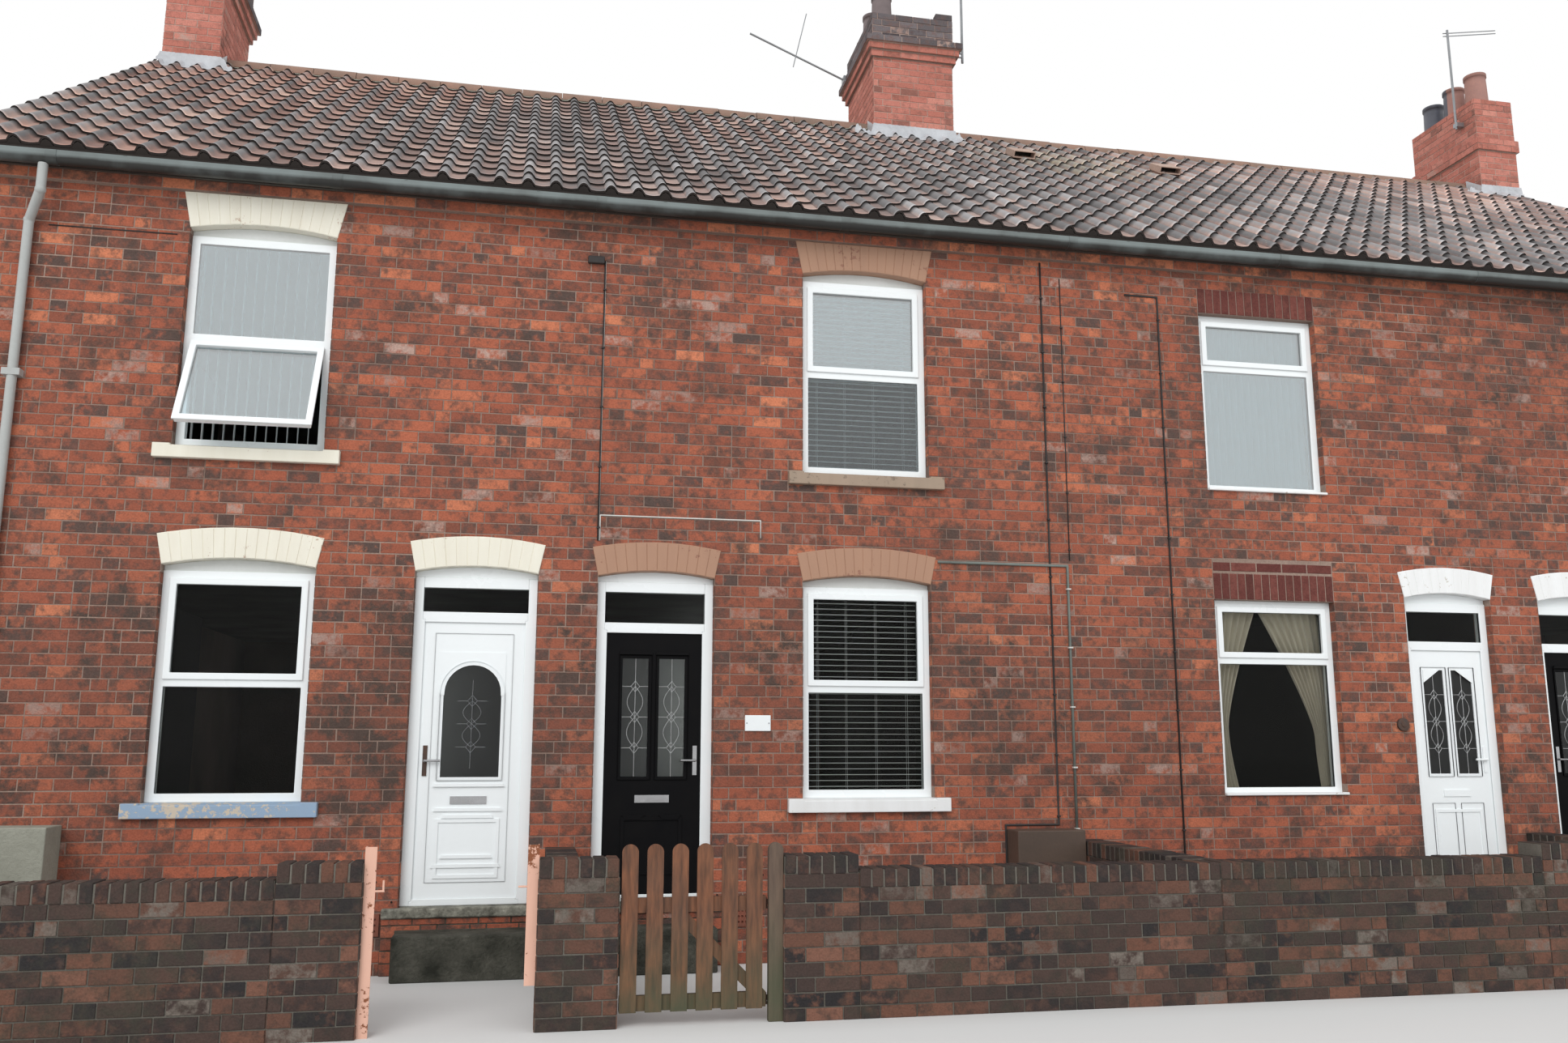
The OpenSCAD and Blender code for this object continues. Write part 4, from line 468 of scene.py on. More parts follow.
# Cloth with a fine weave, and light let through where it is a net
def clothMaterial(name, color, shade, through):
    material, tree, surface = startMaterial(name, 0.9, specular=0.1)
    coords = objectCoords(tree)
    marks = weather(tree, coords, 2.0, 14.0, 200.0)
    weave = addNode(tree, "ShaderNodeTexWave", {"Vector": coords, "Scale": 260.0, "Distortion": 0.4},
                    bands_direction="Z")
    color = mixColors(tree, times(tree, marks["Streaks"], 0.6), color, shade)
    tree.links.new(color, surface.inputs["Base Color"])
    surface.inputs["Sheen Weight"].default_value = 0.3
    if through:
        tree.links.new(mapRange(tree, weave.outputs["Fac"], 0.0, 1.0, 0.86 - through, 1.0 - through),
                       surface.inputs["Alpha"])
    addBump(tree, surface, plus(tree, weave.outputs["Fac"], marks["Grain"]), 0.2, 0.0005)
    return material


timber = timberMaterial("stainedTimber", (0.255, 0.100, 0.047), (0.080, 0.035, 0.020), 0.62)
postTimber = timberMaterial("greyTimber", (0.180, 0.120, 0.085), (0.110, 0.074, 0.055), 0.8)
gutterPaint = gutterMaterial()
tileClay = tileMaterial("pantileClay")
# The tails' front rims, near black as painted shade under each tail
tileRimShade = plainMaterial("pantileRimShade", (0.040, 0.030, 0.026), (0.018, 0.015, 0.014),
                         0.95, 0.6, 3.0, 5.0, 60.0, 0.3, 0.002)
glass = glassMaterial("windowGlass", (0.80, 0.90, 0.93))
# The strong blue tint is painted reflection of a blue sky
skyGlass = glassMaterial("skyGlass", (0.62, 0.86, 0.94), coat=0.95, coatIor=3.5)
doorGlass = glassMaterial("doorGlass", (0.35, 0.38, 0.38), 0.30, 1.42, (0.30, 0.32, 0.31))
cameSilver = plainMaterial("cameSilver", (0.50, 0.51, 0.51), (0.30, 0.30, 0.30),
                           0.35, 0.3, 6.0, 6.0, 60.0, 0.1, 0.001, metallic=0.3)
curtainCloth = clothMaterial("curtainCloth", (0.62, 0.56, 0.45), (0.40, 0.35, 0.27), 0.0)
netCloth = clothMaterial("netCloth", (0.60, 0.66, 0.65), (0.46, 0.52, 0.50), 0.35)
print("materials ready")


def addFinishes(mesh, material):
    for entry in material if isinstance(material, (list, tuple)) else [material]:
        mesh.materials.append(entry)


def finishPiece(name, mesh, material, body="row", hides=()):
    piece = bpy.data.objects.new(name, mesh)
    bpy.context.scene.collection.objects.link(piece)
    if not len(mesh.materials):
        addFinishes(mesh, material)
    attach(piece, body)
    if hides:
        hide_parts(*hides)
    return piece


def toMesh(name, bm, smoothAngle=None):
    mesh = bpy.data.meshes.new(name)
    if smoothAngle is not None:
        for face in bm.faces:
            face.smooth = True
    bm.to_mesh(mesh)
    bm.free()
    if smoothAngle is not None:
        mesh.set_sharp_from_angle(angle=math.radians(smoothAngle))
    return mesh


def fromBmesh(name, bm, material, body="row", hides=(), smoothAngle=None):
    return finishPiece(name, toMesh(name, bm, smoothAngle), material, body, hides)


def addBox(bm, low, high, turn=None, material=0):
    size = Vector(high) - Vector(low)
    made = bmesh.ops.create_cube(bm, size=1.0)["verts"]
    bmesh.ops.scale(bm, vec=size, verts=made)
    if turn:
        bmesh.ops.rotate(bm, verts=made, cent=(0, 0, 0), matrix=turn)
    bmesh.ops.translate(bm, vec=(Vector(low) + Vector(high)) / 2, verts=made)
    for face in {f for v in made for f in v.link_faces}:
        face.material_index = material
    return made


def addRod(bm, a, b, radius, sides=8, material=0):
    a, b = Vector(a), Vector(b)
    made = bmesh.ops.create_cone(bm, cap_ends=True, segments=sides, radius1=radius, radius2=radius,
                                 depth=(b - a).length)["verts"]
    turn = Vector((0, 0, 1)).rotation_difference(b - a).to_matrix()
    bmesh.ops.rotate(bm, verts=made, cent=(0, 0, 0), matrix=turn)
    bmesh.ops.translate(bm, vec=(a + b) / 2, verts=made)
    for face in {f for v in made for f in v.link_faces}:
        face.material_index = material
    return made


def bevelAll(bm, width, segments=2, sharpest=0.5):
    edges = [e for e in bm.edges if e.is_manifold and e.calc_face_angle(0) > sharpest]
    bmesh.ops.bevel(bm, geom=edges, offset=width, offset_type="OFFSET", segments=segments, profile=0.5,
                    affect="EDGES", clamp_overlap=True, material=-1)


def vertsOf(geom):
    return [g for g in geom if isinstance(g, bmesh.types.BMVert)]


def turnVerts(bm, verts, angle, axis):
    bmesh.ops.rotate(bm, verts=verts, cent=(0, 0, 0), matrix=Matrix.Rotation(angle, 3, axis))


def jitter(chance, reach):
    return chance.uniform(-1, 1) * reach


def stepsFrom(first, last, step):
    while first < last:
        yield first
        first += step


# Turns faces so that they look the given way
def faceTo(bm, faces, way):
    away = [f for f in faces if f.normal.dot(Vector(way)) < 0]
    bmesh.ops.reverse_faces(bm, faces=away)


# A copy of a CAD node, merged, with its edges eased and a finish chosen for each of its places
def easedCopy(nodeName, finishes, width=0.004, segments=2, body="row", choose=None, smoothAngle=None, inset=0.0):
    bm = bmesh.new()
    bm.from_mesh(nodes[nodeName].data)
    bmesh.ops.remove_doubles(bm, verts=bm.verts, dist=0.0002)
    if smoothAngle is None:
        bmesh.ops.dissolve_limit(bm, angle_limit=math.radians(2), verts=bm.verts, edges=bm.edges)
        bmesh.ops.connect_verts_concave(bm, faces=bm.faces)
    if inset:
        moves = [(v, v.normal * v.calc_shell_factor() * inset) for v in bm.verts]
        for v, move in moves:
            v.co -= move
    if width:
        bevelAll(bm, width, segments)
    if choose:
        for face in bm.faces:
            face.material_index = choose(face.calc_center_median())
    return fromBmesh("eased_" + nodeName, bm, finishes, body, (nodeName,), smoothAngle=smoothAngle)


# Copies of one template set on points, with a turn, a size and two tones for each
def placementGroup(template):
    group = bpy.data.node_groups.new("placeCopies", "GeometryNodeTree")
    group.interface.new_socket("Geometry", in_out="INPUT", socket_type="NodeSocketGeometry")
    group.interface.new_socket("Geometry", in_out="OUTPUT", socket_type="NodeSocketGeometry")
    start, end = group.nodes.new("NodeGroupInput"), group.nodes.new("NodeGroupOutput")
    info = addNode(group, "GeometryNodeObjectInfo", {"Object": template})
    turn = addNode(group, "GeometryNodeInputNamedAttribute", {"Name": "turn"}, data_type="FLOAT_VECTOR")
    size = addNode(group, "GeometryNodeInputNamedAttribute", {"Name": "size"}, data_type="FLOAT_VECTOR")
    rotate = addNode(group, "FunctionNodeEulerToRotation", {0: turn.outputs[0]})
    place = addNode(group, "GeometryNodeInstanceOnPoints",
                    {"Points": start.outputs[0], "Instance": info.outputs["Geometry"],
                     "Rotation": rotate.outputs[0], "Scale": size.outputs[0]})
    real = addNode(group, "GeometryNodeRealizeInstances", {0: place.outputs[0]})
    group.links.new(real.outputs[0], end.inputs[0])
    return group


def placeCopies(name, template, places, material, body="row", hides=()):
    template = template.copy()
    addFinishes(template, material)
    holder = bpy.data.objects.new(name + "Template", template)
    points = bpy.data.meshes.new(name + "Points")
    points.vertices.add(len(places))
    points.vertices.foreach_set("co", [c for p in places for c in p["at"]])
    for key, usual in (("turn", (0, 0, 0)), ("size", (1, 1, 1))):
        data = points.attributes.new(key, "FLOAT_VECTOR", "POINT").data
        data.foreach_set("vector", [c for p in places for c in p.get(key, usual)])
    for key in ("tone", "burnt"):
        data = points.attributes.new(key, "FLOAT", "POINT").data
        data.foreach_set("value", [p.get(key, 0.0) for p in places])
    carrier = bpy.data.objects.new(name + "Carrier", points)
    for thing in (holder, carrier):
        bpy.context.scene.collection.objects.link(thing)
    carrier.modifiers.new("placeCopies", "NODES").node_group = placementGroup(holder)
    bpy.context.view_layer.update()
    graph = bpy.context.evaluated_depsgraph_get()
    mesh = bpy.data.meshes.new_from_object(carrier.evaluated_get(graph), depsgraph=graph)
    for key in ("turn", "size"):
        if key in mesh.attributes:
            mesh.attributes.remove(mesh.attributes[key])
    for thing in (carrier, holder):
        bpy.data.objects.remove(thing)
    mesh.name = name
    return finishPiece(name, mesh, material, body, hides)


# A brick's face with a worn edge; its back is open, in the wall
def brickTemplate(length, height, out, edge=0.0035, back=0.004):
    bm = bmesh.new()
    addBox(bm, (-length / 2, -out, -height / 2), (length / 2, back, height / 2))
    behind = [f for f in bm.faces if f.calc_center_median().y > back * 0.9]
    bmesh.ops.delete(bm, geom=behind, context="FACES")
    front = [e for e in bm.edges if all(v.co.y < -out * 0.9 for v in e.verts)]
    bmesh.ops.bevel(bm, geom=front, offset=edge, offset_type="OFFSET", segments=1, profile=0.5, affect="EDGES",
                    clamp_overlap=True, material=-1)
    return toMesh("brickTemplate", bm)


bond = {"out": 0.004, "burntHeaders": 0.34, "burntStretchers": 0.15, "pale": 0.05, "split": 0.16, "tilt": 0.007,
        "sillLug": 0.12, "thinnest": 0.002, "shortest": 0.05, "header": 0.15}
brickHeight = row["course"] - row["joint"]
brickLength = row["brick"] - row["joint"]
wallTemplate = brickTemplate(brickLength, brickHeight, bond["out"])


# Free stretches of one course, from what the openings leave
def freeSpans(u0, u1, blocks):
    spans = [(u0, u1)]
    for low, high in blocks:
        spans = [part for a, b in spans for part in ((a, min(b, low)), (max(a, high), b)) if part[1] - part[0] > 0.03]
    return spans


def openingBlocks(hole, low, high):
    middle = (low + high) / 2
    x, half = hole["x"], hole["width"] / 2
    found = []
    if hole["sill"] and hole["foot"] - hole["sill"] < middle < hole["foot"]:
        found.append((x - half - bond["sillLug"], x + half + bond["sillLug"]))
    if hole["foot"] <= middle < hole["spring"]:
        found.append((x - half, x + half))
    elif hole["spring"] <= middle:
        if hole["rise"]:
            radius = (half * half + hole["rise"] ** 2) / (2 * hole["rise"])
            centre = hole["spring"] + hole["rise"] - radius
            spread = half / (radius - hole["rise"])
            if hole["flatTop"]:
                found.append((x - (low - centre) * spread, x + (low - centre) * spread))
            elif high - centre < radius + row["archDepth"]:
                outer = radius + row["archDepth"]
                reach = min((low - centre) * spread, math.sqrt(max(outer ** 2 - (high - centre) ** 2, 0)))
                found.append((x - reach, x + reach))
        elif middle < hole["spring"] + hole["head"]:
            found.append((x - half, x + half))
    return found


# Lengths of one course: stretchers and headers in turn in some courses, a few stretchers cut in two in the rest
def courseLengths(course, start, end, chance, mixed):
    style = course % 5
    at = start - (row["brick"] / 2 if course % 2 else 0.0) + (row["brick"] / 4 if style == 3 else 0.0)
    k = 0
    while at < end:
        length = row["brick"]
        if mixed and (style == 3 and k % 2 or style != 3 and chance.random() < bond["split"]):
            length = row["brick"] / 2
        yield at, at + length
        if mixed and style != 3 and length < row["brick"]:
            yield at + length, at + row["brick"]
            length = row["brick"]
        at += length
        k += 1


def layCourses(limits, low, high, holes, toWorld, turnZ, seed, mixed=True, state=1.0):
    chance = random.Random(seed)
    places = []
    course = 0
    while low + course * row["course"] < high - 0.02:
        base = low + course * row["course"]
        top = min(base + row["course"], high)
        u0, u1 = limits(base, top)
        blocks = [b for hole in holes for b in openingBlocks(hole, base, top)]
        lengths = list(courseLengths(course, math.floor(u0) - 1.0, u1 + 0.3, chance, mixed))
        for a, b in freeSpans(u0, u1, blocks):
            pieces = [[max(p, a), min(q, b)] for p, q in lengths if min(q, b) - max(p, a) > bond["thinnest"]]
            if len(pieces) > 1 and pieces[0][1] - pieces[0][0] < bond["shortest"]:
                pieces[1][0] = pieces[0][0]
                pieces.pop(0)
            if len(pieces) > 1 and pieces[-1][1] - pieces[-1][0] < bond["shortest"]:
                pieces[-2][1] = pieces[-1][1]
                pieces.pop()
            for left, right in pieces:
                share = bond["burntHeaders"] if right - left < bond["header"] else bond["burntStretchers"]
                draw, burnt = chance.random(), 0.0
                if draw < share * state:
                    burnt = chance.uniform(0.4, 1.0)
                elif draw > 1 - bond["pale"] * state:
                    burnt = -chance.uniform(0.4, 0.9)
                places.append({
                    "at": toWorld((left + right) / 2, (base + top) / 2),
                    "turn": (jitter(chance, bond["tilt"]), jitter(chance, 0.003), turnZ + jitter(chance, bond["tilt"])),
                    "size": ((right - left - row["joint"]) / brickLength * chance.uniform(0.985, 1.006),
                             chance.uniform(0.6, 1.0),
                             (top - base - row["joint"]) / brickHeight * chance.uniform(0.96, 1.02)),
                    "tone": chance.betavariate(2.2, 2.2), "burnt": burnt})
        course += 1
    return places


# Foot, head and the drop of a flat head, for the windows of each floor
floors = ((row["lowSill"], row["lowHead"], row["flatDropLow"]), (row["upSill"], row["upHead"], row["flatDropUp"]))


def opening(x, width, foot, spring, rise=0, head=0.0, sill=0, flatTop=False):
    return {"x": x, "width": width, "foot": foot, "spring": spring,
            "rise": rise, "head": head, "sill": sill, "flatTop": flatTop}


def frontHoles():
    holes = []
    for i in range(4):
        x, width = windowX(i), row["windows"][i]
        for upper, (foot, spring, drop) in enumerate(floors):
            head = row["archDepth"] + (0 if upper else row["course"])
            if i == row["flatHouse"]:
                holes.append(opening(x, width, foot, spring - drop, head=head, flatTop=upper))
            else:
                holes.append(opening(x, width, foot, spring, row["rise"], head, row["sillHeight"], upper))
        holes.append(opening(doorX(i), row["doors"][i], row["plinth"], row["lowHead"], row["doorRise"],
                             row["archDepth"]))
    return holes


def buildFrontBricks():
    end = row["rowHalf"]
    places = layCourses(lambda a, b: (-end, end), 0.0, row["eavesCourse"], frontHoles(),
                        lambda u, v: (u, row["face"], v), 0.0, 3)
    placeCopies("front_bricks", wallTemplate, places, wallBrick)
    # Bricks of the reveals, one a course on each side of an opening
    chance = random.Random(8)
    sides = []
    for hole in frontHoles():
        course = math.ceil((hole["foot"] + 0.02) / row["course"])
        while (course + 1) * row["course"] < hole["spring"] + 0.03:
            for side in (-1, 1):
                sides.append({"at": (hole["x"] + side * hole["width"] / 2, row["face"] + row["reveal"] / 2 - 0.002,
                                     (course + 0.5) * row["course"]),
                              "turn": (0, 0, -side * math.pi / 2),
                              "size": ((row["reveal"] - 0.004) / brickLength, 0.6, 1.0),
                              "tone": chance.random(), "burnt": 0.7 if chance.random() < 0.3 else 0.0})
            course += 1
    placeCopies("reveal_bricks", wallTemplate, sides, wallBrick)


# Course that stands out under the eaves, front and rear, of deeper bricks
def buildEavesCourse():
    template = brickTemplate(brickLength, brickHeight, 0.044, 0.004, 0.0)
    chance = random.Random(5)
    places = []
    for y, turn in ((row["face"], 0.0), (rearFace, math.pi)):
        for x in stepsFrom(-row["rowHalf"] + row["brick"] / 2, row["rowHalf"] - 0.1, row["brick"]):
            places.append({"at": (x, y, row["eavesCourse"] + row["course"] / 2),
                           "turn": (0, 0, turn + jitter(chance, 0.008)),
                           "tone": chance.uniform(0.5, 1.0), "burnt": 0.6 if chance.random() < 0.2 else 0.0})
    placeCopies("eaves_course_bricks", template, places, wallBrick)


# Rear openings, each with a stone lintel that runs past it
def rearHoles():
    lug, depth = 0.1, row["archDepth"]
    holes = []
    for i in range(4):
        x = windowX(i)
        for foot, spring, drop in floors:
            holes += [opening(x, row["setOutWindow"], foot, spring, sill=row["sillHeight"]),
                      opening(x, row["setOutWindow"] + 2 * lug, spring, spring + depth)]
        holes += [opening(doorX(i), row["setOutDoor"], row["doorFoot"], row["lowHead"]),
                  opening(doorX(i), row["setOutDoor"] + 2 * lug, row["lowHead"], row["lowHead"] + depth)]
    return holes


def buildRearBricks():
    end = row["rowHalf"]
    places = layCourses(lambda a, b: (-end, end), 0.0, row["eavesCourse"], rearHoles(),
                        lambda u, v: (u, rearFace, v), math.pi, 13)
    placeCopies("rear_bricks", wallTemplate, places, wallBrick)


def buildEndBricks():
    for name, x, turn, seed in (("left_end_bricks", -row["rowHalf"], -math.pi / 2, 21),
                                ("right_end_bricks", row["rowHalf"], math.pi / 2, 22)):
        def limits(low, high):
            inset = max((high - roofUnder(row["face"])) / slope, 0)
            return row["face"] + inset, rearFace - inset
        places = layCourses(limits, 0.0, roofUnder(ridgeY) - 0.03, [], lambda u, v: (x, u, v), turn, seed)
        placeCopies(name, wallTemplate, places, wallBrick)


# Bricks of the bases under the door slabs, and the drilled holes of a damp course beside the doors, drawn as dark discs
# of painted shade
doorBases = {"lug": 0.11, "out": 0.035, "holeRadius": 0.008, "holeZ": (0.50, 0.64), "holeStep": 0.115,
             "holeFrom": 0.045, "fromParty": 0.10}


def buildDoorBases():
    places = []
    holes = bmesh.new()
    for i in range(4):
        half = row["doors"][i] / 2 + doorBases["lug"]
        places += layCourses(lambda a, b: (doorX(i) - half, doorX(i) + half), 0.0, row["plinth"], [],
                             lambda u, v: (u, row["face"] - doorBases["out"], v), 0.0, 33 + i)
        for side in (-1, 1):
            for k in range(4):
                x = doorX(i) + side * (row["doors"][i] / 2 + doorBases["holeFrom"] + k * doorBases["holeStep"])
                if abs(x - partyX[i]) < doorBases["fromParty"]:
                    continue
                z = doorBases["holeZ"][k % 2]
                addRod(holes, (x, row["face"] - 0.006, z), (x, row["face"] - 0.001, z), doorBases["holeRadius"])
    placeCopies("door_base_bricks", wallTemplate, places, wallBrick)
    fromBmesh("damp_course_holes", holes, holeShade)


buildFrontBricks()
buildEavesCourse()
buildRearBricks()
buildEndBricks()
buildDoorBases()
print("walls laid")

arches = {"bricksInWindow": 15, "bricksInDoor": 12, "proud": 0.010, "gap": 0.002, "edge": 0.003, "depth": 0.224,
          "back": 0.012, "roughProud": (-0.0012, 0.0008), "roughDepth": (-0.007, 0.001), "cutSpare": 0.08}


# Tapered bricks of a segmental arch set round its centre, cut off level where the eaves course passes
def addArch(bm, x, spring, width, rise, count, top, chance):
    half = width / 2
    radius = (half * half + rise * rise) / (2 * rise)
    spread = math.asin(half / radius)
    for k in range(count):
        angle = -spread + (k + 0.5) * 2 * spread / count
        inner = radius * math.tan(spread / count) - arches["gap"] / 2
        proud = arches["proud"] + chance.uniform(*arches["roughProud"])
        depth = arches["depth"] + (arches["cutSpare"] if top else chance.uniform(*arches["roughDepth"]))
        made = addBox(bm, (-inner, -proud, 0.001), (inner, arches["back"], depth))
        bmesh.ops.scale(bm, vec=((radius + depth) / radius, 1, 1), verts=[v for v in made if v.co.z > 0.1])
        bmesh.ops.rotate(bm, verts=made, cent=(0, 0, -radius), matrix=Matrix.Rotation(angle, 3, "Y"))
        bmesh.ops.translate(bm, vec=(x, row["face"], spring + rise), verts=made)
    if top:
        bmesh.ops.bisect_plane(bm, geom=bm.verts[:] + bm.edges[:] + bm.faces[:], plane_co=(0, 0, top),
                               plane_no=(0, 0, 1), clear_outer=True)
        bmesh.ops.holes_fill(bm, edges=[e for e in bm.edges if e.is_boundary], sides=8)


def buildArches():
    paints = [creamPaint, brownPaint, whitePaint, whitePaint]
    for i, house in enumerate("abcd"):
        chance = random.Random(70 + i)
        bm = bmesh.new()
        if i != row["flatHouse"]:
            addArch(bm, windowX(i), row["upHead"], row["windows"][i], row["rise"], arches["bricksInWindow"],
                    row["eavesCourse"] - 0.001, chance)
            addArch(bm, windowX(i), row["lowHead"], row["windows"][i], row["rise"], arches["bricksInWindow"], 0, chance)
        addArch(bm, doorX(i), row["lowHead"], row["doors"][i], row["doorRise"], arches["bricksInDoor"], 0, chance)
        bevelAll(bm, arches["edge"], 1)
        fromBmesh("arch_bricks_" + house, bm, paints[i])
    easedCopy("painted_arches", paints, 0.0, choose=lambda c: houseOf(c.x))


# Soldiers over the third house's windows, with a flat course of the same dark red over the lower ones
soldiers = {"width": 0.071, "height": 0.218, "out": 0.005, "count": 15, "joint": 0.008, "middle": 0.1125,
            "flatUp": 0.055, "flatLengths": (0.17, 0.24, 0.24, 0.24, 0.24), "flatJoint": 0.012}


def buildSoldiers():
    template = brickTemplate(soldiers["width"], soldiers["height"], soldiers["out"])
    i = row["flatHouse"]
    chance = random.Random(4)
    places = []
    left, step = windowX(i) - row["windows"][i] / 2, row["windows"][i] / soldiers["count"]
    wide = (step - soldiers["joint"]) / soldiers["width"]
    for foot, head, drop in floors:
        z = head - drop + soldiers["middle"]
        for k in range(soldiers["count"]):
            places.append({"at": (left + (k + 0.5) * step, row["face"], z),
                           "turn": (0, jitter(chance, 0.01), 0), "size": (wide, 1, 1),
                           "tone": chance.random(), "burnt": 0.5 if chance.random() < 0.25 else 0.0})
    placeCopies("soldier_bricks", template, places, soldierBrick)
    z = row["lowHead"] - row["flatDropLow"] + row["archDepth"] + soldiers["flatUp"]
    x, places = left, []
    for length in soldiers["flatLengths"]:
        places.append({"at": (x + length / 2, row["face"], z),
                       "turn": (0, jitter(chance, 0.01), 0), "tone": chance.random(),
                       "size": ((length - soldiers["flatJoint"]) / brickLength, 1.1, 0.92)})
        x += length
    placeCopies("flat_course_bricks", wallTemplate, places, soldierBrick)


buildArches()
buildSoldiers()
print("arches laid")

tiles = {"columns": 81, "gauge": 0.315, "length": 0.345, "roll": 0.058, "low": 0.21, "pan": 0.14,
         "thick": 0.018, "lift": 0.020, "rise": 0.004, "start": (0.006, 0.028), "beforeRidge": 0.085,
         "clearBeside": 0.05, "clearBefore": 0.18}
verge = row["rowHalf"] + row["vergeOut"]
columnWidth = 2 * verge / tiles["columns"]


# Height of a pantile at a place across it, from 0 to 1: a roll and a shallow pan, as the model's roof has them
def tileWave(u):
    if u < 0.42:
        return tiles["roll"] * (tiles["low"] + (1 - tiles["low"]) * math.sin(math.pi * u / 0.42) ** 0.6)
    return tiles["roll"] * (tiles["low"] - tiles["pan"] * math.sin(math.pi * (u - 0.42) / 0.58))


# Height of a place that lies so much over the tiles' faces
def overTiles(x, y, lift):
    return roofTop(y) + (tileWave((x + verge) / columnWidth % 1.0) + lift) / math.cos(row["pitch"])


def tileTemplate(rear, eaves):
    bm = bmesh.new()
    wave, along = bm.verts.layers.float.new("wave"), bm.verts.layers.float.new("along")
    made = bmesh.ops.create_grid(bm, x_segments=15, y_segments=1, size=0.5)["verts"]
    for v in made:
        u = min(max(v.co.x * 1.03 + 0.5, 0.0), 1.0)
        tail = v.co.y < 0
        v[wave], v[along] = tileWave(u) / tiles["roll"], 0.0 if tail else 1.0
        v.co = Vector((v.co.x * columnWidth * 1.03, 0 if tail else tiles["length"],
                       tileWave(u) + (tiles["lift"] if tail else tiles["rise"])))
    tails = [e for e in bm.edges if all(v.co.y < 0.001 for v in e.verts)]
    rim = bmesh.ops.extrude_edge_only(bm, edges=tails)["geom"]
    rimVerts = vertsOf(rim)
    bmesh.ops.translate(bm, vec=(0, 0.002, -tiles["thick"]), verts=rimVerts)
    if eaves:
        low = [e for e in bm.edges if all(v in rimVerts for v in e.verts)]
        under = bmesh.ops.extrude_edge_only(bm, edges=low)["geom"]
        bmesh.ops.translate(bm, vec=(0, 0.10, 0.0), verts=vertsOf(under))
    bm.normal_update()
    top = [f for f in bm.faces if f.calc_center_median().y > 0.12]
    front = [f for f in bm.faces if f.calc_center_median().y < 0.01]
    rest = [f for f in bm.faces if f not in top and f not in front]
    faceTo(bm, top, (0, 0, 1))
    faceTo(bm, front, (0, -1, 0))
    faceTo(bm, rest, (0, 0, -1))
    # The tail's front rim takes the second finish, painted dark as shade
    for face in bm.faces:
        face.smooth = True
        face.material_index = 1 if face in front else 0
    for edge in bm.edges:
        edge.smooth = not any(f in front for f in edge.link_faces)
    if rear:
        bmesh.ops.scale(bm, vec=(1, -1, 1), verts=bm.verts)
        bmesh.ops.reverse_faces(bm, faces=bm.faces)
    return toMesh("tileTemplate", bm)


stacks = [{"x": 0.0, "width": 1.03}, {"x": -8.32, "width": 0.60}, {"x": 8.32, "width": 0.60}]
stackFront, stackBack = row["face"] + 4.2, row["face"] + 5.45


# Whether a tile would lie in a stack
def underStack(x, y):
    before, beside = tiles["clearBefore"], tiles["clearBeside"]
    near = any(abs(x - stack["x"]) < stack["width"] / 2 + beside for stack in stacks)
    return near and stackFront - before < y < stackBack + before


def tilePlaces(rear, eaves):
    chance = random.Random(31 + rear)
    found = []
    startY = row["face"] - row["eavesOut"] + tiles["start"][rear] * math.cos(row["pitch"])
    slopeLength = (ridgeY - tiles["beforeRidge"] - startY) / math.cos(row["pitch"])
    courses = math.ceil(slopeLength / tiles["gauge"])
    for c in range(1) if eaves else range(1, courses):
        along = c * tiles["gauge"]
        y = startY + along * math.cos(row["pitch"])
        last = min((slopeLength - along) / tiles["gauge"], 1.0)
        if last < 0.15:
            continue
        for k in range(tiles["columns"]):
            x = -verge + (k + 0.5) * columnWidth
            worldY = 2 * ridgeY - y if rear else y
            if underStack(x, worldY):
                continue
            tilt = row["pitch"] + chance.uniform(-1, 0.4) * 0.006
            found.append({"at": (x, worldY, roofTop(y) + 0.002),
                          "turn": (-tilt if rear else tilt, jitter(chance, 0.006), jitter(chance, 0.010)),
                          "size": (0.97 if k in (0, tiles["columns"] - 1) else 1.0, last, 1.0),
                          "tone": chance.betavariate(2, 2)})
    return found


def buildTiles():
    for rear, side in ((0, "front"), (1, "rear")):
        for eaves, name in ((False, "_tiles"), (True, "_eaves_tiles")):
            template, places = tileTemplate(rear, eaves), tilePlaces(rear, eaves)
            placeCopies(side + name, template, places, [tileClay, tileRimShade])


# Vent tiles: a hood over a slot whose back is painted dark as shade, set on the front slope
vents = {"places": ((1.01, 3.22), (2.78, 3.10)), "size": (0.27, 0.30, 0.085), "back": 0.075, "rim": 0.014,
         "deep": 0.12, "lift": 0.07}


def buildVents():
    bm = bmesh.new()
    sx, sy, sz = vents["size"]
    for x, y in vents["places"]:
        made = addBox(bm, (-sx / 2, -sy / 2, 0), (sx / 2, sy / 2, sz))
        for v in made:
            if v.co.y > 0 and v.co.z > 0.01:
                v.co.z = vents["back"]
        mouth = [f for v in made for f in v.link_faces if f.calc_center_median().y < -sy / 2 + 0.001][:1]
        bmesh.ops.inset_region(bm, faces=mouth, thickness=vents["rim"], use_even_offset=True)
        pushed = bmesh.ops.extrude_discrete_faces(bm, faces=mouth)["faces"]
        bmesh.ops.translate(bm, vec=(0, vents["deep"], 0), verts=list({v for f in pushed for v in f.verts}))
        for face in pushed:
            face.material_index = 1
        fresh = [v for v in bm.verts if abs(v.co.x) < sx and abs(v.co.y) < sy and v.co.z < 0.2]
        turnVerts(bm, fresh, row["pitch"], "X")
        bmesh.ops.translate(bm, vec=(x, y, roofTop(y) + vents["lift"]), verts=fresh)
    bevelAll(bm, 0.008, 2)
    fromBmesh("vent_tiles", bm, [paleClay, holeShade])


buildTiles()
buildVents()
print("roof tiled")

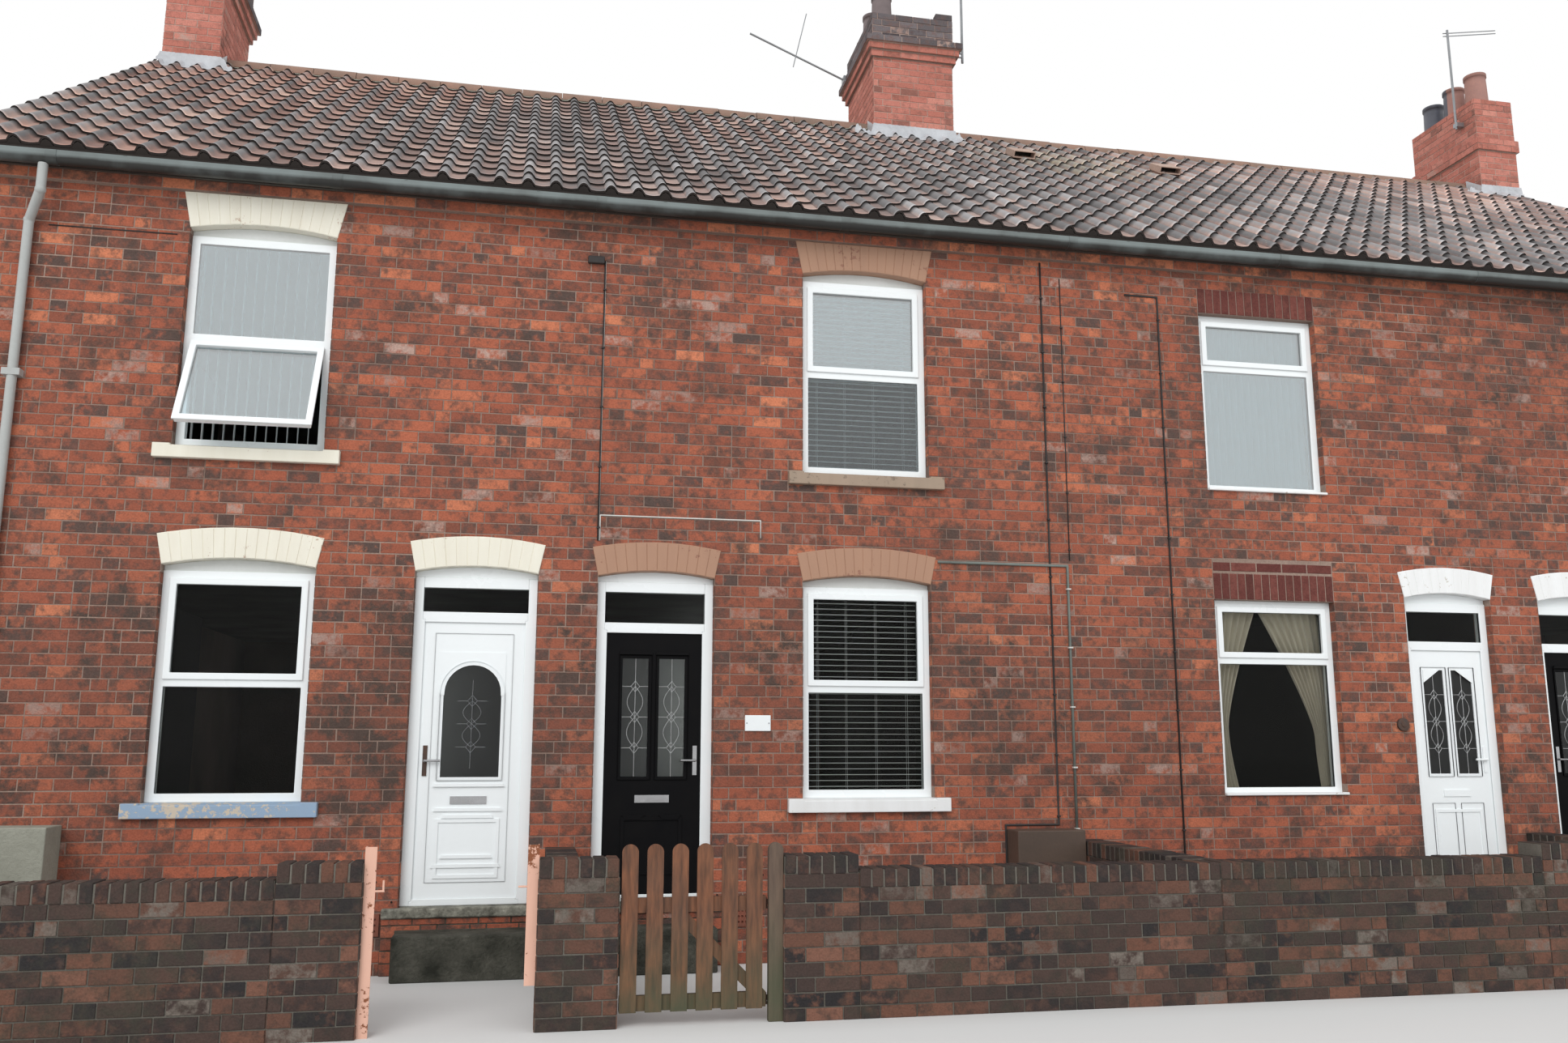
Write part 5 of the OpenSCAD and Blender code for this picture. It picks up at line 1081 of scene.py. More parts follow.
# Lead dressed over the tiles before each stack, with a ragged edge, an upstand and side pieces up the slope
lead = {"ahead": 0.16, "ragged": 0.05, "past": (0.24, 0.14), "over": 0.026, "upstand": 0.12, "side": 0.27,
        "thick": 0.003, "step": 0.018, "fromVerge": 0.005, "before": 0.004, "uneven": (-0.002, 0.006),
        "waver": 0.003, "turnedUp": (0.01, 0.06), "sideThick": 0.005, "sideTall": 0.15}


def addApron(bm, stack, chance):
    middle, half = stack["x"], stack["width"] / 2
    x0 = max(middle - half - lead["past"][0], -verge + lead["fromVerge"])
    x1 = min(middle + half + lead["past"][1], verge - lead["fromVerge"])
    count = round((x1 - x0) / lead["step"])
    reach = [lead["ahead"] + chance.uniform(-1, 0.2) * lead["ragged"] for k in range(count // 3 + 2)]
    lifted = [chance.uniform(*lead["uneven"]) for k in range(count + 2)]
    for v in bmesh.ops.create_grid(bm, x_segments=count, y_segments=6, size=0.5)["verts"]:
        k, share = round((v.co.x + 0.5) * count), v.co.y + 0.5
        x = x0 + (v.co.x + 0.5) * (x1 - x0)
        y = stackFront - lead["before"] - (1 - share) * reach[k // 3]
        v.co = Vector((x, y, overTiles(x, y, lead["over"] + lifted[k] * (1 - share))))
    back = [e for e in bm.edges if all(v.co.y > stackFront - lead["before"] - 0.001 for v in e.verts)]
    level = roofTop(stackFront) + tiles["roll"] + lead["upstand"]
    for v in vertsOf(bmesh.ops.extrude_edge_only(bm, edges=back)["geom"]):
        if abs(v.co.x - middle) < half + 0.02:
            v.co.z = level + chance.uniform(-lead["waver"], lead["waver"])
        else:
            v.co.z += chance.uniform(*lead["turnedUp"])
        v.co.y -= lead["thick"]
    bm.normal_update()
    faceTo(bm, bm.faces, (0, -0.5, 1))
    bmesh.ops.solidify(bm, geom=bm.faces[:], thickness=lead["thick"])


def addLeadSides(bm, stack):
    thick = lead["sideThick"]
    for side in (-1, 1):
        x = stack["x"] + side * (stack["width"] / 2 + thick)
        if abs(x) < row["rowHalf"]:
            for v in addBox(bm, (x - thick / 2, stackFront - 0.005, 0),
                            (x + thick / 2, stackFront + lead["side"], lead["sideTall"])):
                v.co.z += roofTop(v.co.y) + 0.01


def buildLead():
    for stack, name in zip(stacks, ("middle", "left", "right")):
        bm = bmesh.new()
        addApron(bm, stack, random.Random(len(name) * 7))
        addLeadSides(bm, stack)
        fromBmesh("dressed_lead_" + name, bm, leadGrey, hides=("chimney_lead",) if name == "middle" else (),
                  smoothAngle=50)


# Half of a tube along X, its ends open, made from a circle; the gutter's sleeves have straight sides
def halfTube(radius, length, segments, thick, upper=True, sides=0.0):
    bm = bmesh.new()
    bmesh.ops.create_circle(bm, segments=segments, radius=radius)
    turnVerts(bm, bm.verts, math.pi / 2, "Y")
    away = [v for v in bm.verts if (v.co.z < -0.001 if upper else v.co.z > 0.001)]
    bmesh.ops.delete(bm, geom=away, context="VERTS")
    if sides:
        ends = [v for v in bm.verts if abs(v.co.z) < 0.001]
        grown = bmesh.ops.extrude_vert_indiv(bm, verts=ends)["verts"]
        bmesh.ops.translate(bm, vec=(0, 0, sides), verts=grown)
    grown = bmesh.ops.extrude_edge_only(bm, edges=bm.edges[:])["geom"]
    bmesh.ops.translate(bm, vec=(length, 0, 0), verts=vertsOf(grown))
    bmesh.ops.translate(bm, vec=(-length / 2, 0, 0), verts=bm.verts)
    bm.normal_update()
    for face in bm.faces:
        middle = face.calc_center_median()
        if face.normal.dot(Vector((0, middle.y, middle.z))) < 0:
            face.normal_flip()
    bmesh.ops.solidify(bm, geom=bm.faces[:], thickness=thick)
    return bm


ridge = {"length": 0.457, "gap": 0.007, "radius": 0.132, "thick": 0.016, "z": 9.1451, "bed": 0.03,
         "bedFrom": 0.097, "bedWide": 0.042, "bedOver": 0.012, "runs": ((-8.02, -0.515), (0.515, 8.02))}


def buildRidge():
    template = toMesh("ridgeTemplate", halfTube(ridge["radius"], ridge["length"] - ridge["gap"], 24, ridge["thick"]),
                      40)
    chance = random.Random(41)
    places = []
    for x0, x1 in ridge["runs"]:
        count = round((x1 - x0) / ridge["length"])
        step = (x1 - x0) / count
        for k in range(count):
            places.append({"at": (x0 + (k + 0.5) * step, ridgeY, ridge["z"] + chance.uniform(-0.006, 0.0)),
                           "turn": (jitter(chance, 0.02), jitter(chance, 0.006), jitter(chance, 0.006)),
                           "size": (step / ridge["length"], 1, 1), "tone": chance.random()})
    placeCopies("ridge_tile_row", template, places, clay, hides=("ridge_tiles",))
    # Mortar that beds the ridge on the tiles, dressed a little unevenly
    bm = bmesh.new()
    for x0, x1 in ridge["runs"]:
        for side in (-1, 1):
            made = bmesh.ops.create_grid(bm, x_segments=150, y_segments=2, size=0.5)["verts"]
            for v in made:
                share = v.co.y + 0.5
                y = ridge["bedFrom"] + share * ridge["bedWide"] + (chance.uniform(-0.008, 0.008) if share > 0.9 else 0)
                x = x0 + (v.co.x + 0.5) * (x1 - x0)
                low = overTiles(x, ridgeY - y, ridge["bedOver"])
                v.co = Vector((x, ridgeY + side * y, low + (1 - share) * max(ridge["z"] + ridge["bed"] - low, 0)))
            bm.normal_update()
            faceTo(bm, list({f for v in made for f in v.link_faces}), (0, 0, 1))
    fromBmesh("ridge_bedding", bm, paleConcrete, smoothAngle=60)


buildLead()
buildRidge()
print("ridge and lead laid")

# Sleeves and brackets of the gutters
gutter = {"radius": 0.056, "z": 5.815, "side": 0.034, "out": 0.196, "sleeve": 0.075, "every": 1.98,
          "first": -7.95, "bracketFrom": 0.5, "bracketEvery": 0.99, "bracketHalf": 0.012}


def buildGutterSleeves():
    template = toMesh("sleeveTemplate",
                      halfTube(gutter["radius"] + 0.004, gutter["sleeve"], 20, 0.003, False, gutter["side"]), 40)
    places = []
    for y in (row["face"] - gutter["out"], rearFace + gutter["out"]):
        places += [{"at": (x, y, gutter["z"])} for x in stepsFrom(gutter["first"], row["rowHalf"], gutter["every"])]
    placeCopies("gutter_sleeves", template, places, gutterPaint)
    bm = bmesh.new()
    for y, way in ((row["face"] - gutter["out"], 1), (rearFace + gutter["out"], -1)):
        near, far = sorted((y - way * gutter["radius"], y + way * gutter["radius"]))
        for x in stepsFrom(gutter["first"] + gutter["bracketFrom"], row["rowHalf"], gutter["bracketEvery"]):
            addBox(bm, (x - gutter["bracketHalf"], near - 0.002, gutter["z"] + gutter["side"] - 0.004),
                   (x + gutter["bracketHalf"], far + 0.002, gutter["z"] + gutter["side"] + 0.0005))
    bevelAll(bm, 0.001, 1)
    fromBmesh("gutter_brackets", bm, gutterPaint)


buildGutterSleeves()

chimney = {"corbel": 9.98, "step": 0.035, "neckOut": 0.01, "neckCourses": 4, "band": 9.6, "bandOut": 0.032,
           "rightTop": 10.36, "course": 0.086, "flush": 0.0045, "inset": 0.008, "middlePots": 1.0,
           "blackPot": (8.0, 0.2), "lostBrick": (0.304, 0.521)}
stackTop = chimney["corbel"] + (3 + chimney["neckCourses"]) * chimney["course"]


# Bricks round a shaft, their faces where the model's faces are
def stackBricks(x, width, low, high, out, seed):
    out -= chimney["flush"]
    places = []
    faces = (
        (lambda u, v: (u, stackFront - out, v), 0.0, x - width / 2 - out, x + width / 2 + out),
        (lambda u, v: (u, stackBack + out, v), math.pi, x - width / 2 - out, x + width / 2 + out),
        (lambda u, v: (x - width / 2 - out, u, v), -math.pi / 2, stackFront - out, stackBack + out),
        (lambda u, v: (x + width / 2 + out, u, v), math.pi / 2, stackFront - out, stackBack + out),
    )
    for k, (toWorld, turn, u0, u1) in enumerate(faces):
        places += layCourses(lambda a, b: (u0, u1), low, high, [], toWorld, turn, seed + k, mixed=False, state=0.5)
    # Nothing is laid below the roof's surface
    return [p for p in places if p["at"][2] > roofTop(p["at"][1]) - 0.12]


def potFinish(c):
    x, behind = chimney["blackPot"]
    return 2 if abs(c.x) < chimney["middlePots"] else int(c.x > x and c.y > ridgeY + behind)


def buildChimneys():
    base = row["course"] * 99
    top = chimney["corbel"] + 3 * chimney["course"]
    for k, (name, stack) in enumerate((("middle", stacks[0]), ("left", stacks[1]))):
        places = stackBricks(stack["x"], stack["width"], base, chimney["corbel"], 0.0, 50 + 10 * k)
        for c in range(2):
            low = chimney["corbel"] + c * chimney["course"]
            places += stackBricks(stack["x"], stack["width"], low, low + chimney["course"],
                                  (c + 1) * chimney["step"], 70 + k + c)
        placeCopies(name + "_stack_bricks", wallTemplate, places, chimneyBrick)
        places = stackBricks(stack["x"], stack["width"], top - chimney["course"], top, 3 * chimney["step"], 80 + k)
        places += stackBricks(stack["x"], stack["width"], top, stackTop, chimney["neckOut"], 90 + k)
        placeCopies(name + "_neck_bricks", wallTemplate, places, sootBrick)
    x, width, band = stacks[2]["x"], stacks[2]["width"], chimney["band"]
    places = stackBricks(x, width, base, band, 0.0, 101)
    places += stackBricks(x, width, band, band + 2 * chimney["course"], chimney["bandOut"], 105)
    places += stackBricks(x, width, band + 2 * chimney["course"], chimney["rightTop"], 0.0, 109)
    placeCopies("right_stack_bricks", wallTemplate, places, chimneyBrick)
    easedCopy("chimney_stacks", chimneyMortar, 0.0, inset=chimney["inset"])
    # The brick left of a lost course, on the middle stack's front corner
    bm = bmesh.new()
    left, right = chimney["lostBrick"]
    addBox(bm, (left, stackFront - 0.008, stackTop - 0.004), (right, stackFront + 0.10, stackTop + 0.077))
    bevelAll(bm, 0.006, 2)
    fromBmesh("lost_course_brick", bm, sootBrick)
    easedCopy("chimney_pots", [potClay, potBlack, potSoot], 0.0, choose=potFinish, smoothAngle=40)


buildChimneys()
print("chimneys laid")

garden = {"front": -2.1125, "thick": 0.225, "height": 0.87, "endHeight": 0.955, "endLength": 0.466,
          "coping": 0.108, "setBack": 0.005, "wallEnd": 2.871, "pier": 3.855, "pierEnd": 4.321, "outer": 5.295,
          "divide": 0.215, "inset": 0.005, "brick": 0.0775, "foot": -0.04, "copingWide": 0.066,
          "copingJoint": 0.010, "burnt": 0.4, "pale": 0.12, "coreDown": 0.009, "ground": 0.001,
          "thinnest": 0.012}


# Front walls by where they start and end and how high they are; the left side mirrors the right one
def gardenRuns():
    g = garden
    first, last = g["wallEnd"] - g["endLength"], g["outer"] + g["endLength"]
    spans = ((0, first, g["height"]), (first, g["wallEnd"], g["endHeight"]), (g["pier"], g["pierEnd"], g["endHeight"]),
             (g["outer"], last, g["endHeight"]), (last, row["rowHalf"], g["height"]))
    runs = []
    for s in (-1, 1):
        for x0, x1, h in spans:
            runs.append((min(s * x0, s * x1), max(s * x0, s * x1), h))
    return runs


def copingBricks(start, end, chance, toWorld, turn, size):
    count = max(round((end - start) / garden["brick"]), 1)
    step = (end - start) / count
    return [{"at": toWorld(start + (k + 0.5) * step, -chance.uniform(0.0, 0.005)),
             "turn": (jitter(chance, 0.012), jitter(chance, 0.02), turn + jitter(chance, 0.006)),
             "size": ((step - garden["copingJoint"]) / garden["copingWide"], size, 1), "tone": chance.uniform(0.0, 0.7),
             "burnt": 0.7 if chance.random() < garden["burnt"] else -0.5 if chance.random() < garden["pale"] else 0.0}
            for k in range(count)]


# The lowest course is cut at the ground, and what would be too thin is left out
def cutAtGround(places):
    half, ground = brickHeight / 2, garden["ground"]
    laid = []
    for p in places:
        x, y, z = p["at"]
        if z - half < ground:
            if z + half < garden["thinnest"]:
                continue
            p["size"] = (p["size"][0], p["size"][1], (z + half - ground) / (2 * half))
            p["at"] = (x, y, (z + half + ground) / 2)
        laid.append(p)
    return laid


def copingTemplate():
    bm = bmesh.new()
    across, deep, tall = garden["copingWide"] / 2, garden["thick"] / 2 - 0.001, garden["coping"] / 2
    addBox(bm, (-across, -deep, -tall), (across, deep, tall))
    bevelAll(bm, 0.007, 2)
    return toMesh("copingTemplate", bm)


def buildGardenWalls():
    g = garden
    places, copings = [], []
    cores = bmesh.new()
    chance = random.Random(61)
    for n, (x0, x1, h) in enumerate(gardenRuns()):
        body = h - g["coping"]
        start = body - math.ceil((body - g["foot"]) / row["course"]) * row["course"]
        y0, y1 = g["front"] + g["setBack"], g["front"] + g["thick"] - g["setBack"]
        for y, turn in ((y0, 0.0), (y1, math.pi)):
            places += layCourses(lambda a, b: (x0, x1), start, body, [], lambda u, v: (u, y, v),
                                 turn, 200 + n, state=1.6)
        for x, turn in ((x0, -math.pi / 2), (x1, math.pi / 2)):
            places += layCourses(lambda a, b: (y0, y1), start, body, [], lambda u, v: (x, u, v), turn, 300 + n)
        copings += copingBricks(x0, x1, chance,
                                lambda u, dz: (u, g["front"] + g["thick"] / 2, h - g["coping"] / 2 + dz), 0.0, 1.0)
        addBox(cores, (x0 + 0.001, y0 + g["inset"], 0), (x1 - 0.001, y1 - g["inset"], body))
        addBox(cores, (x0 + 0.004, g["front"] + 0.008, body),
               (x1 - 0.004, g["front"] + g["thick"] - 0.008, h - g["coreDown"]))
    back = g["front"] + g["thick"]
    body = g["height"] - g["coping"]
    outer = row["rowHalf"] - g["divide"] / 2
    for n, x in enumerate((-outer, -row["houseWidth"], 0.0, row["houseWidth"], outer)):
        half = g["divide"] / 2 - g["setBack"]
        for side, turn in ((-1, -math.pi / 2), (1, math.pi / 2)):
            places += layCourses(lambda a, b: (back, row["face"]), body - 10 * row["course"], body, [],
                                 lambda u, v: (x + side * half, u, v), turn, 400 + n, state=1.6)
        copings += copingBricks(back, row["face"], chance, lambda u, dz: (x, u, g["height"] - g["coping"] / 2 + dz),
                                math.pi / 2, g["divide"] / g["thick"])
        addBox(cores, (x - half + g["inset"], back - 0.01, 0), (x + half - g["inset"], row["face"], body))
        addBox(cores, (x - half, back, body), (x + half, row["face"], g["height"] - g["coreDown"]))
    placeCopies("garden_wall_bricks", wallTemplate, cutAtGround(places), darkBrick)
    placeCopies("coping_bricks", copingTemplate(), copings, darkBrick)
    fromBmesh("garden_wall_cores", cores, paleMortar, hides=("front_garden_walls", "dividing_walls"))


buildGardenWalls()
print("front walls laid")


# Heights and sides that tell the solids of one node apart
parting = {"upstairs": 3.3, "lowerLight": 4.5, "infill": 0.033, "infillTop": 3.0, "slab": 0.005,
           "gateIron": 0.086, "conduitX": (-1.25, -0.11, -0.04), "conduitZ": (3.04, 3.085),
           "whiteCable": (-3.93, -2.6, 3.149), "leftBox": -7, "cableBox": 3}


# The upper panes mirror the sky, but for the lower one of the second house
def paneFinish(c):
    return int(c.z > parting["upstairs"] and c.y < 1 and not (houseOf(c.x) == 1 and c.z < parting["lowerLight"]))


def frameFinish(c):
    low, high = row["lowHead"] - parting["infill"], row["upHead"] - parting["infill"]
    return int(low < c.z < parting["infillTop"] or c.z > high and houseOf(c.x) != row["flatHouse"])


def sillFinish(c):
    return ((1, 0), (3, 2), (3, 3), (3, 3))[houseOf(c.x)][c.z > 3]


def stepFinish(c):
    return int(c.z > row["plinth"] - parting["slab"])


def gateFinish(c):
    return int(c.y > garden["front"] + parting["gateIron"])


def cableFinish(c):
    left, corner, right = parting["conduitX"]
    low, high = parting["conduitZ"]
    if left < c.x < right and c.z < high and (c.x > corner or c.z > low):
        return 2
    left, right, low = parting["whiteCable"]
    return int(left < c.x < right and c.z > low)


def boxFinish(c):
    return 0 if c.x < parting["leftBox"] else 2 if c.z > parting["cableBox"] else 1


easedCopy("window_glass", [glass, skyGlass], 0.0, choose=paneFinish)
easedCopy("window_frames", [plastic, infillWhite], 0.007, choose=frameFinish)
easedCopy("opening_lights", plastic, 0.006)
easedCopy("door_jambs", plastic, 0.006)
easedCopy("door_rails", plastic, 0.004)
easedCopy("window_sills", [creamPaint, bluePaint, brownSill, whitePaint], 0.010, 3, choose=sillFinish)
easedCopy("doorsteps", [concrete, slabStone], 0.016, 3, choose=stepFinish)
easedCopy("rear_dressings", stone, 0.008)
easedCopy("rear_windows", plastic, 0.006)
easedCopy("picket_gate", [timber, ironBlack], 0.004, body="garden_gate", choose=gateFinish)
easedCopy("timber_post", postTimber, 0.004)
easedCopy("wall_cables", [blackCable, whiteCable, conduitGrey], 0.0, choose=cableFinish, smoothAngle=60)
easedCopy("meter_boxes", [paleConcrete, boxBrown, blackCable], 0.008, choose=boxFinish)
print("frames eased")

# Door leaves: the place of their fronts, the frame's share of a doorway, the fittings and the mouldings' edges
doors = {"front": -0.0265, "frames": 0.146, "thick": 0.0443, "letterZ": 1.203, "letterHalf": (0.14, 0.031),
         "handleZ": 1.488, "handleHalf": (0.065, 0.115), "handleIn": 0.055, "plateHalf": 0.0165,
         "free": [-1, 1, 1, -1], "edge": 0.0025}


# Which of a leaf's finishes a face gets, by its place: the letter plate, the lever and its plate, or the leaf
def leafChooser(i, letter, lever, plate):
    free, middle, front = doors["free"][i], doorX(i), doors["front"]
    handleX = middle + free * ((row["doors"][i] - doors["frames"]) / 2 - doors["handleIn"])

    def choose(c):
        proud = c.y < front - 0.0003 or c.y > front + doors["thick"]
        wide, tall = doors["letterHalf"]
        if proud and abs(c.x - middle) < wide and abs(c.z - doors["letterZ"]) < tall:
            return letter
        beside = min(abs(c.x - handleX), abs(c.x - handleX + free * 0.06))
        wide, tall = doors["handleHalf"]
        if proud and beside < wide and abs(c.z - doors["handleZ"]) < tall:
            return plate if abs(c.x - handleX) < doors["plateHalf"] and c.y > front - 0.012 else lever
        return 0
    return choose


def flatFace(bm, outline):
    return bm.faces.new([bm.verts.new((x, doors["front"], z)) for x, z in outline])


def raiseFaces(bm, faces, depth):
    grown = bmesh.ops.extrude_face_region(bm, geom=faces)["geom"]
    bmesh.ops.translate(bm, vec=(0, -depth, 0), verts=vertsOf(grown))


def addPlate(bm, outline, depth):
    raiseFaces(bm, [flatFace(bm, outline)], depth)


# A raised moulding of even width inside an outline on a door's face
def addMould(bm, outline, width, depth):
    face = flatFace(bm, outline)
    ring = bmesh.ops.inset_individual(bm, faces=[face], thickness=width, use_even_offset=True)["faces"]
    bmesh.ops.delete(bm, geom=[face], context="FACES_ONLY")
    raiseFaces(bm, ring, depth)


def trapeze(x, z0, half0, z1, half1):
    return [(x - half0, z0), (x + half0, z0), (x + half1, z1), (x - half1, z1)]


def archCurve(x, z, radius, steps=16):
    turns = [math.pi * k / steps for k in range(steps + 1)]
    return [(x + radius * math.cos(turn), z + radius * math.sin(turn)) for turn in turns]


leading = {"radius": 0.0026, "in": 0.0075, "diamonds": (0.24, 0.5, 0.76), "diamondWide": 0.34,
           "diamondTall": 0.042, "loops": (0.37, 0.63), "loopWide": 0.62, "loopTall": 0.26}


# Lead cames on a glass: diamonds and long loops on a middle line
def addLeading(bm, x, low, high, half):
    y, tall = doors["front"] + leading["in"], high - low

    def line(points):
        for a, b in zip(points, points[1:]):
            addRod(bm, (a[0], y, a[1]), (b[0], y, b[1]), leading["radius"], 4)
    line([(x, low), (x, high)])
    for share in leading["diamonds"]:
        z, w, h = low + share * tall, half * leading["diamondWide"], leading["diamondTall"]
        line([(x - w, z), (x, z + h), (x + w, z), (x, z - h), (x - w, z)])
        line([(x - half, z), (x - w, z)])
        line([(x + w, z), (x + half, z)])
    for share in leading["loops"]:
        for side in (-1, 1):
            reach = side * half * leading["loopWide"]
            curl = [(reach * math.sin(math.pi * k / 8), share + leading["loopTall"] * (k / 8 - 0.5)) for k in range(9)]
            line([(x + aside, low + up * tall) for aside, up in curl])


# First house: an arched glass in a moulding, a long panel, and two stepped trims over and under the lower field
archedLeaf = {"spring": 1.985, "radius": 0.205, "outer": 0.235, "low": 1.345, "top": 2.285, "plate": 0.004,
              "mould": (0.026, 0.013), "panel": (0.285, 0.62, 2.425), "panelMould": (0.016, 0.007),
              "trim": 0.012, "trims": ((1.135, 0.235), (1.085, 0.175), (0.80, 0.175), (0.735, 0.235)),
              "glass": (1.43, 2.08, 0.105)}


def dressArchedLeaf(bm, cames, x):
    a = archedLeaf
    spring, radius, outer, trim = a["spring"], a["radius"], a["outer"], a["trim"]
    half, low, high = a["panel"]
    shoulder = [(x - outer, spring - 0.02), (x - radius, spring - 0.02)] + archCurve(x, spring, radius)[::-1]
    shoulder += [(x + radius, spring - 0.02), (x + outer, spring - 0.02), (x + outer, a["top"]), (x - outer, a["top"])]
    addPlate(bm, shoulder, a["plate"])
    addMould(bm, [(x + outer, a["low"])] + archCurve(x, spring, outer) + [(x - outer, a["low"])], *a["mould"])
    addMould(bm, trapeze(x, low, half, high, half), *a["panelMould"])
    for z, wide in a["trims"]:
        addPlate(bm, trapeze(x, z - trim, wide + trim, z + trim, wide), 0.011)
    addPlate(bm, trapeze(x, 1.300, 0.255, 1.322, 0.245), 0.016)
    addLeading(cames, x, *a["glass"])


# The other houses: two tall glasses, with slanting tops over the third house's, and a panel or a trim below each
twinLeaf = {"apart": 0.14, "low": 1.368, "high": 2.258, "half": 0.124, "round": 0.024, "mould": (0.022, 0.010),
            "slant": 0.11, "panel": (0.110, 0.60, 1.12), "panelMould": (0.020, 0.007), "leading": 0.098}


def dressTwinLeaf(bm, cames, x, slanted):
    t = twinLeaf
    low, high = t["low"], t["high"]
    for side in (-1, 1):
        gx = x + side * t["apart"]
        addMould(bm, trapeze(gx, low - t["round"], t["half"], high + t["round"], t["half"]), *t["mould"])
        if slanted:
            half, foot, top = t["panel"]
            outer = gx + side * 0.101
            addPlate(bm, [(outer, high + 0.001), (gx - side * 0.06, high + 0.001), (outer, high - t["slant"])], 0.006)
            addMould(bm, trapeze(gx, foot, half, top, half), *t["panelMould"])
        else:
            addPlate(bm, trapeze(gx, high + 0.03, 0.128, high + 0.052, 0.118), 0.020)
            addPlate(bm, trapeze(gx, 1.050, 0.055, 1.085, 0.085), 0.012)
        addLeading(cames, gx, low, high, t["leading"])


def buildDoors():
    # Each leaf's finishes, and which of them its letter plate, lever and lever plate have
    leaves = (([plastic, chrome, ironBlack], (1, 1, 2)), ([blackLeaf, chrome], (1, 1, 1)),
              ([plastic, chrome], (0, 0, 0)), ([blackLeaf, chrome], (1, 1, 1)))
    bodies = ["door_" + house for house in "abcd"]
    for i, (finishes, metals) in enumerate(leaves):
        easedCopy(bodies[i], finishes, 0.003, body=bodies[i], choose=leafChooser(i, *metals))
    for i, (finishes, metals) in enumerate(leaves):
        moulds, cames = bmesh.new(), bmesh.new()
        if i == 0:
            dressArchedLeaf(moulds, cames, doorX(i))
        else:
            dressTwinLeaf(moulds, cames, doorX(i), slanted=i == row["flatHouse"])
        bmesh.ops.recalc_face_normals(moulds, faces=moulds.faces)
        bevelAll(moulds, doors["edge"], 2)
        fromBmesh(bodies[i] + "_moulds", moulds, finishes[0], bodies[i])
        fromBmesh(bodies[i] + "_leading", cames, steel if i == 0 else cameSilver, bodies[i])


buildDoors()
print("doors dressed")

blinds = {"slat": 0.046, "pitch": 0.0450, "tilt": 0.015, "closedTilt": 0.10, "uprightTurn": 1.66,
          "uprightPitch": 0.078, "upright": 0.085, "width": 0.98, "behind": 0.105,
          "cords": (0.12, 0.36, 0.61, 0.87)}


# Slatted blind behind a window, with ladder cords, a head rail and a foot rail
def buildBlind(name, x, width, low, high, tilt, y):
    bm = bmesh.new()
    for z in stepsFrom(low + 0.02, high - 0.03, blinds["pitch"]):
        addBox(bm, (-width / 2, -blinds["slat"] / 2, -0.0014), (width / 2, blinds["slat"] / 2, 0.0014),
               Matrix.Rotation(tilt, 3, "X"))
        bmesh.ops.translate(bm, vec=(x, y, z), verts=bm.verts[-8:])
    for share in blinds["cords"]:
        dx = (share - 0.5) * width
        for dy in (-0.024, 0.024):
            addBox(bm, (x + dx - 0.0007, y + dy - 0.0007, low), (x + dx + 0.0007, y + dy + 0.0007, high))
    addBox(bm, (x - width / 2, y - 0.025, high - 0.035), (x + width / 2, y + 0.025, high))
    addBox(bm, (x - width / 2, y - 0.022, low - 0.008), (x + width / 2, y + 0.022, low + 0.006))
    return fromBmesh(name, bm, slatWhite)


# Upright slats, turned nearly edge on, as in the first house
def buildUprightBlind(name, x, width, low, high, y):
    bm = bmesh.new()
    count = round(width / blinds["uprightPitch"])
    for k in range(count):
        place = x - width / 2 + (k + 0.5) * width / count
        half = blinds["upright"] / 2
        made = addBox(bm, (-half, -0.0008, low), (half, 0.0008, high))
        turnVerts(bm, made, blinds["uprightTurn"], "Z")
        bmesh.ops.translate(bm, vec=(place, y, 0), verts=made)
    addBox(bm, (x - width / 2, y - 0.02, high), (x + width / 2, y + 0.02, high + 0.035))
    return fromBmesh(name, bm, slatWhite)


blindY = row["face"] + row["reveal"] + blinds["behind"]
upLow, upHigh = row["upSill"] + 0.02, row["upHead"] - 0.01
downLow, downHigh = row["lowSill"] + 0.02, row["lowHead"] - 0.01
buildUprightBlind("upright_blind", windowX(0), blinds["width"], upLow + 0.04, upHigh - 0.02, blindY + 0.02)
buildBlind("upper_blind", windowX(1), blinds["width"], upLow, upHigh, blinds["closedTilt"], blindY)
buildBlind("lower_blind", windowX(1), blinds["width"], downLow, downHigh, blinds["tilt"], blindY)
buildBlind("last_lower_blind", windowX(3), blinds["width"], downLow, downHigh, blinds["tilt"], blindY)

# Ties have the places of the curtain's edge at the top, the tie and the foot, and how high the tie is.
# The left curtain's top and the right one's are measured from the middle, the rest from the window's sides.
curtains = {"depth": 0.016, "rod": 0.010, "inset": 0.05, "past": 0.03, "foot": 0.03, "head": 0.01,
            "netFoot": 0.04, "netHead": 0.02, "leftTie": (-0.06, 0.12, 0.19, 0.34),
            "rightTie": (-0.10, -0.10, -0.07, 0.30), "folds": (7, 8, 16)}


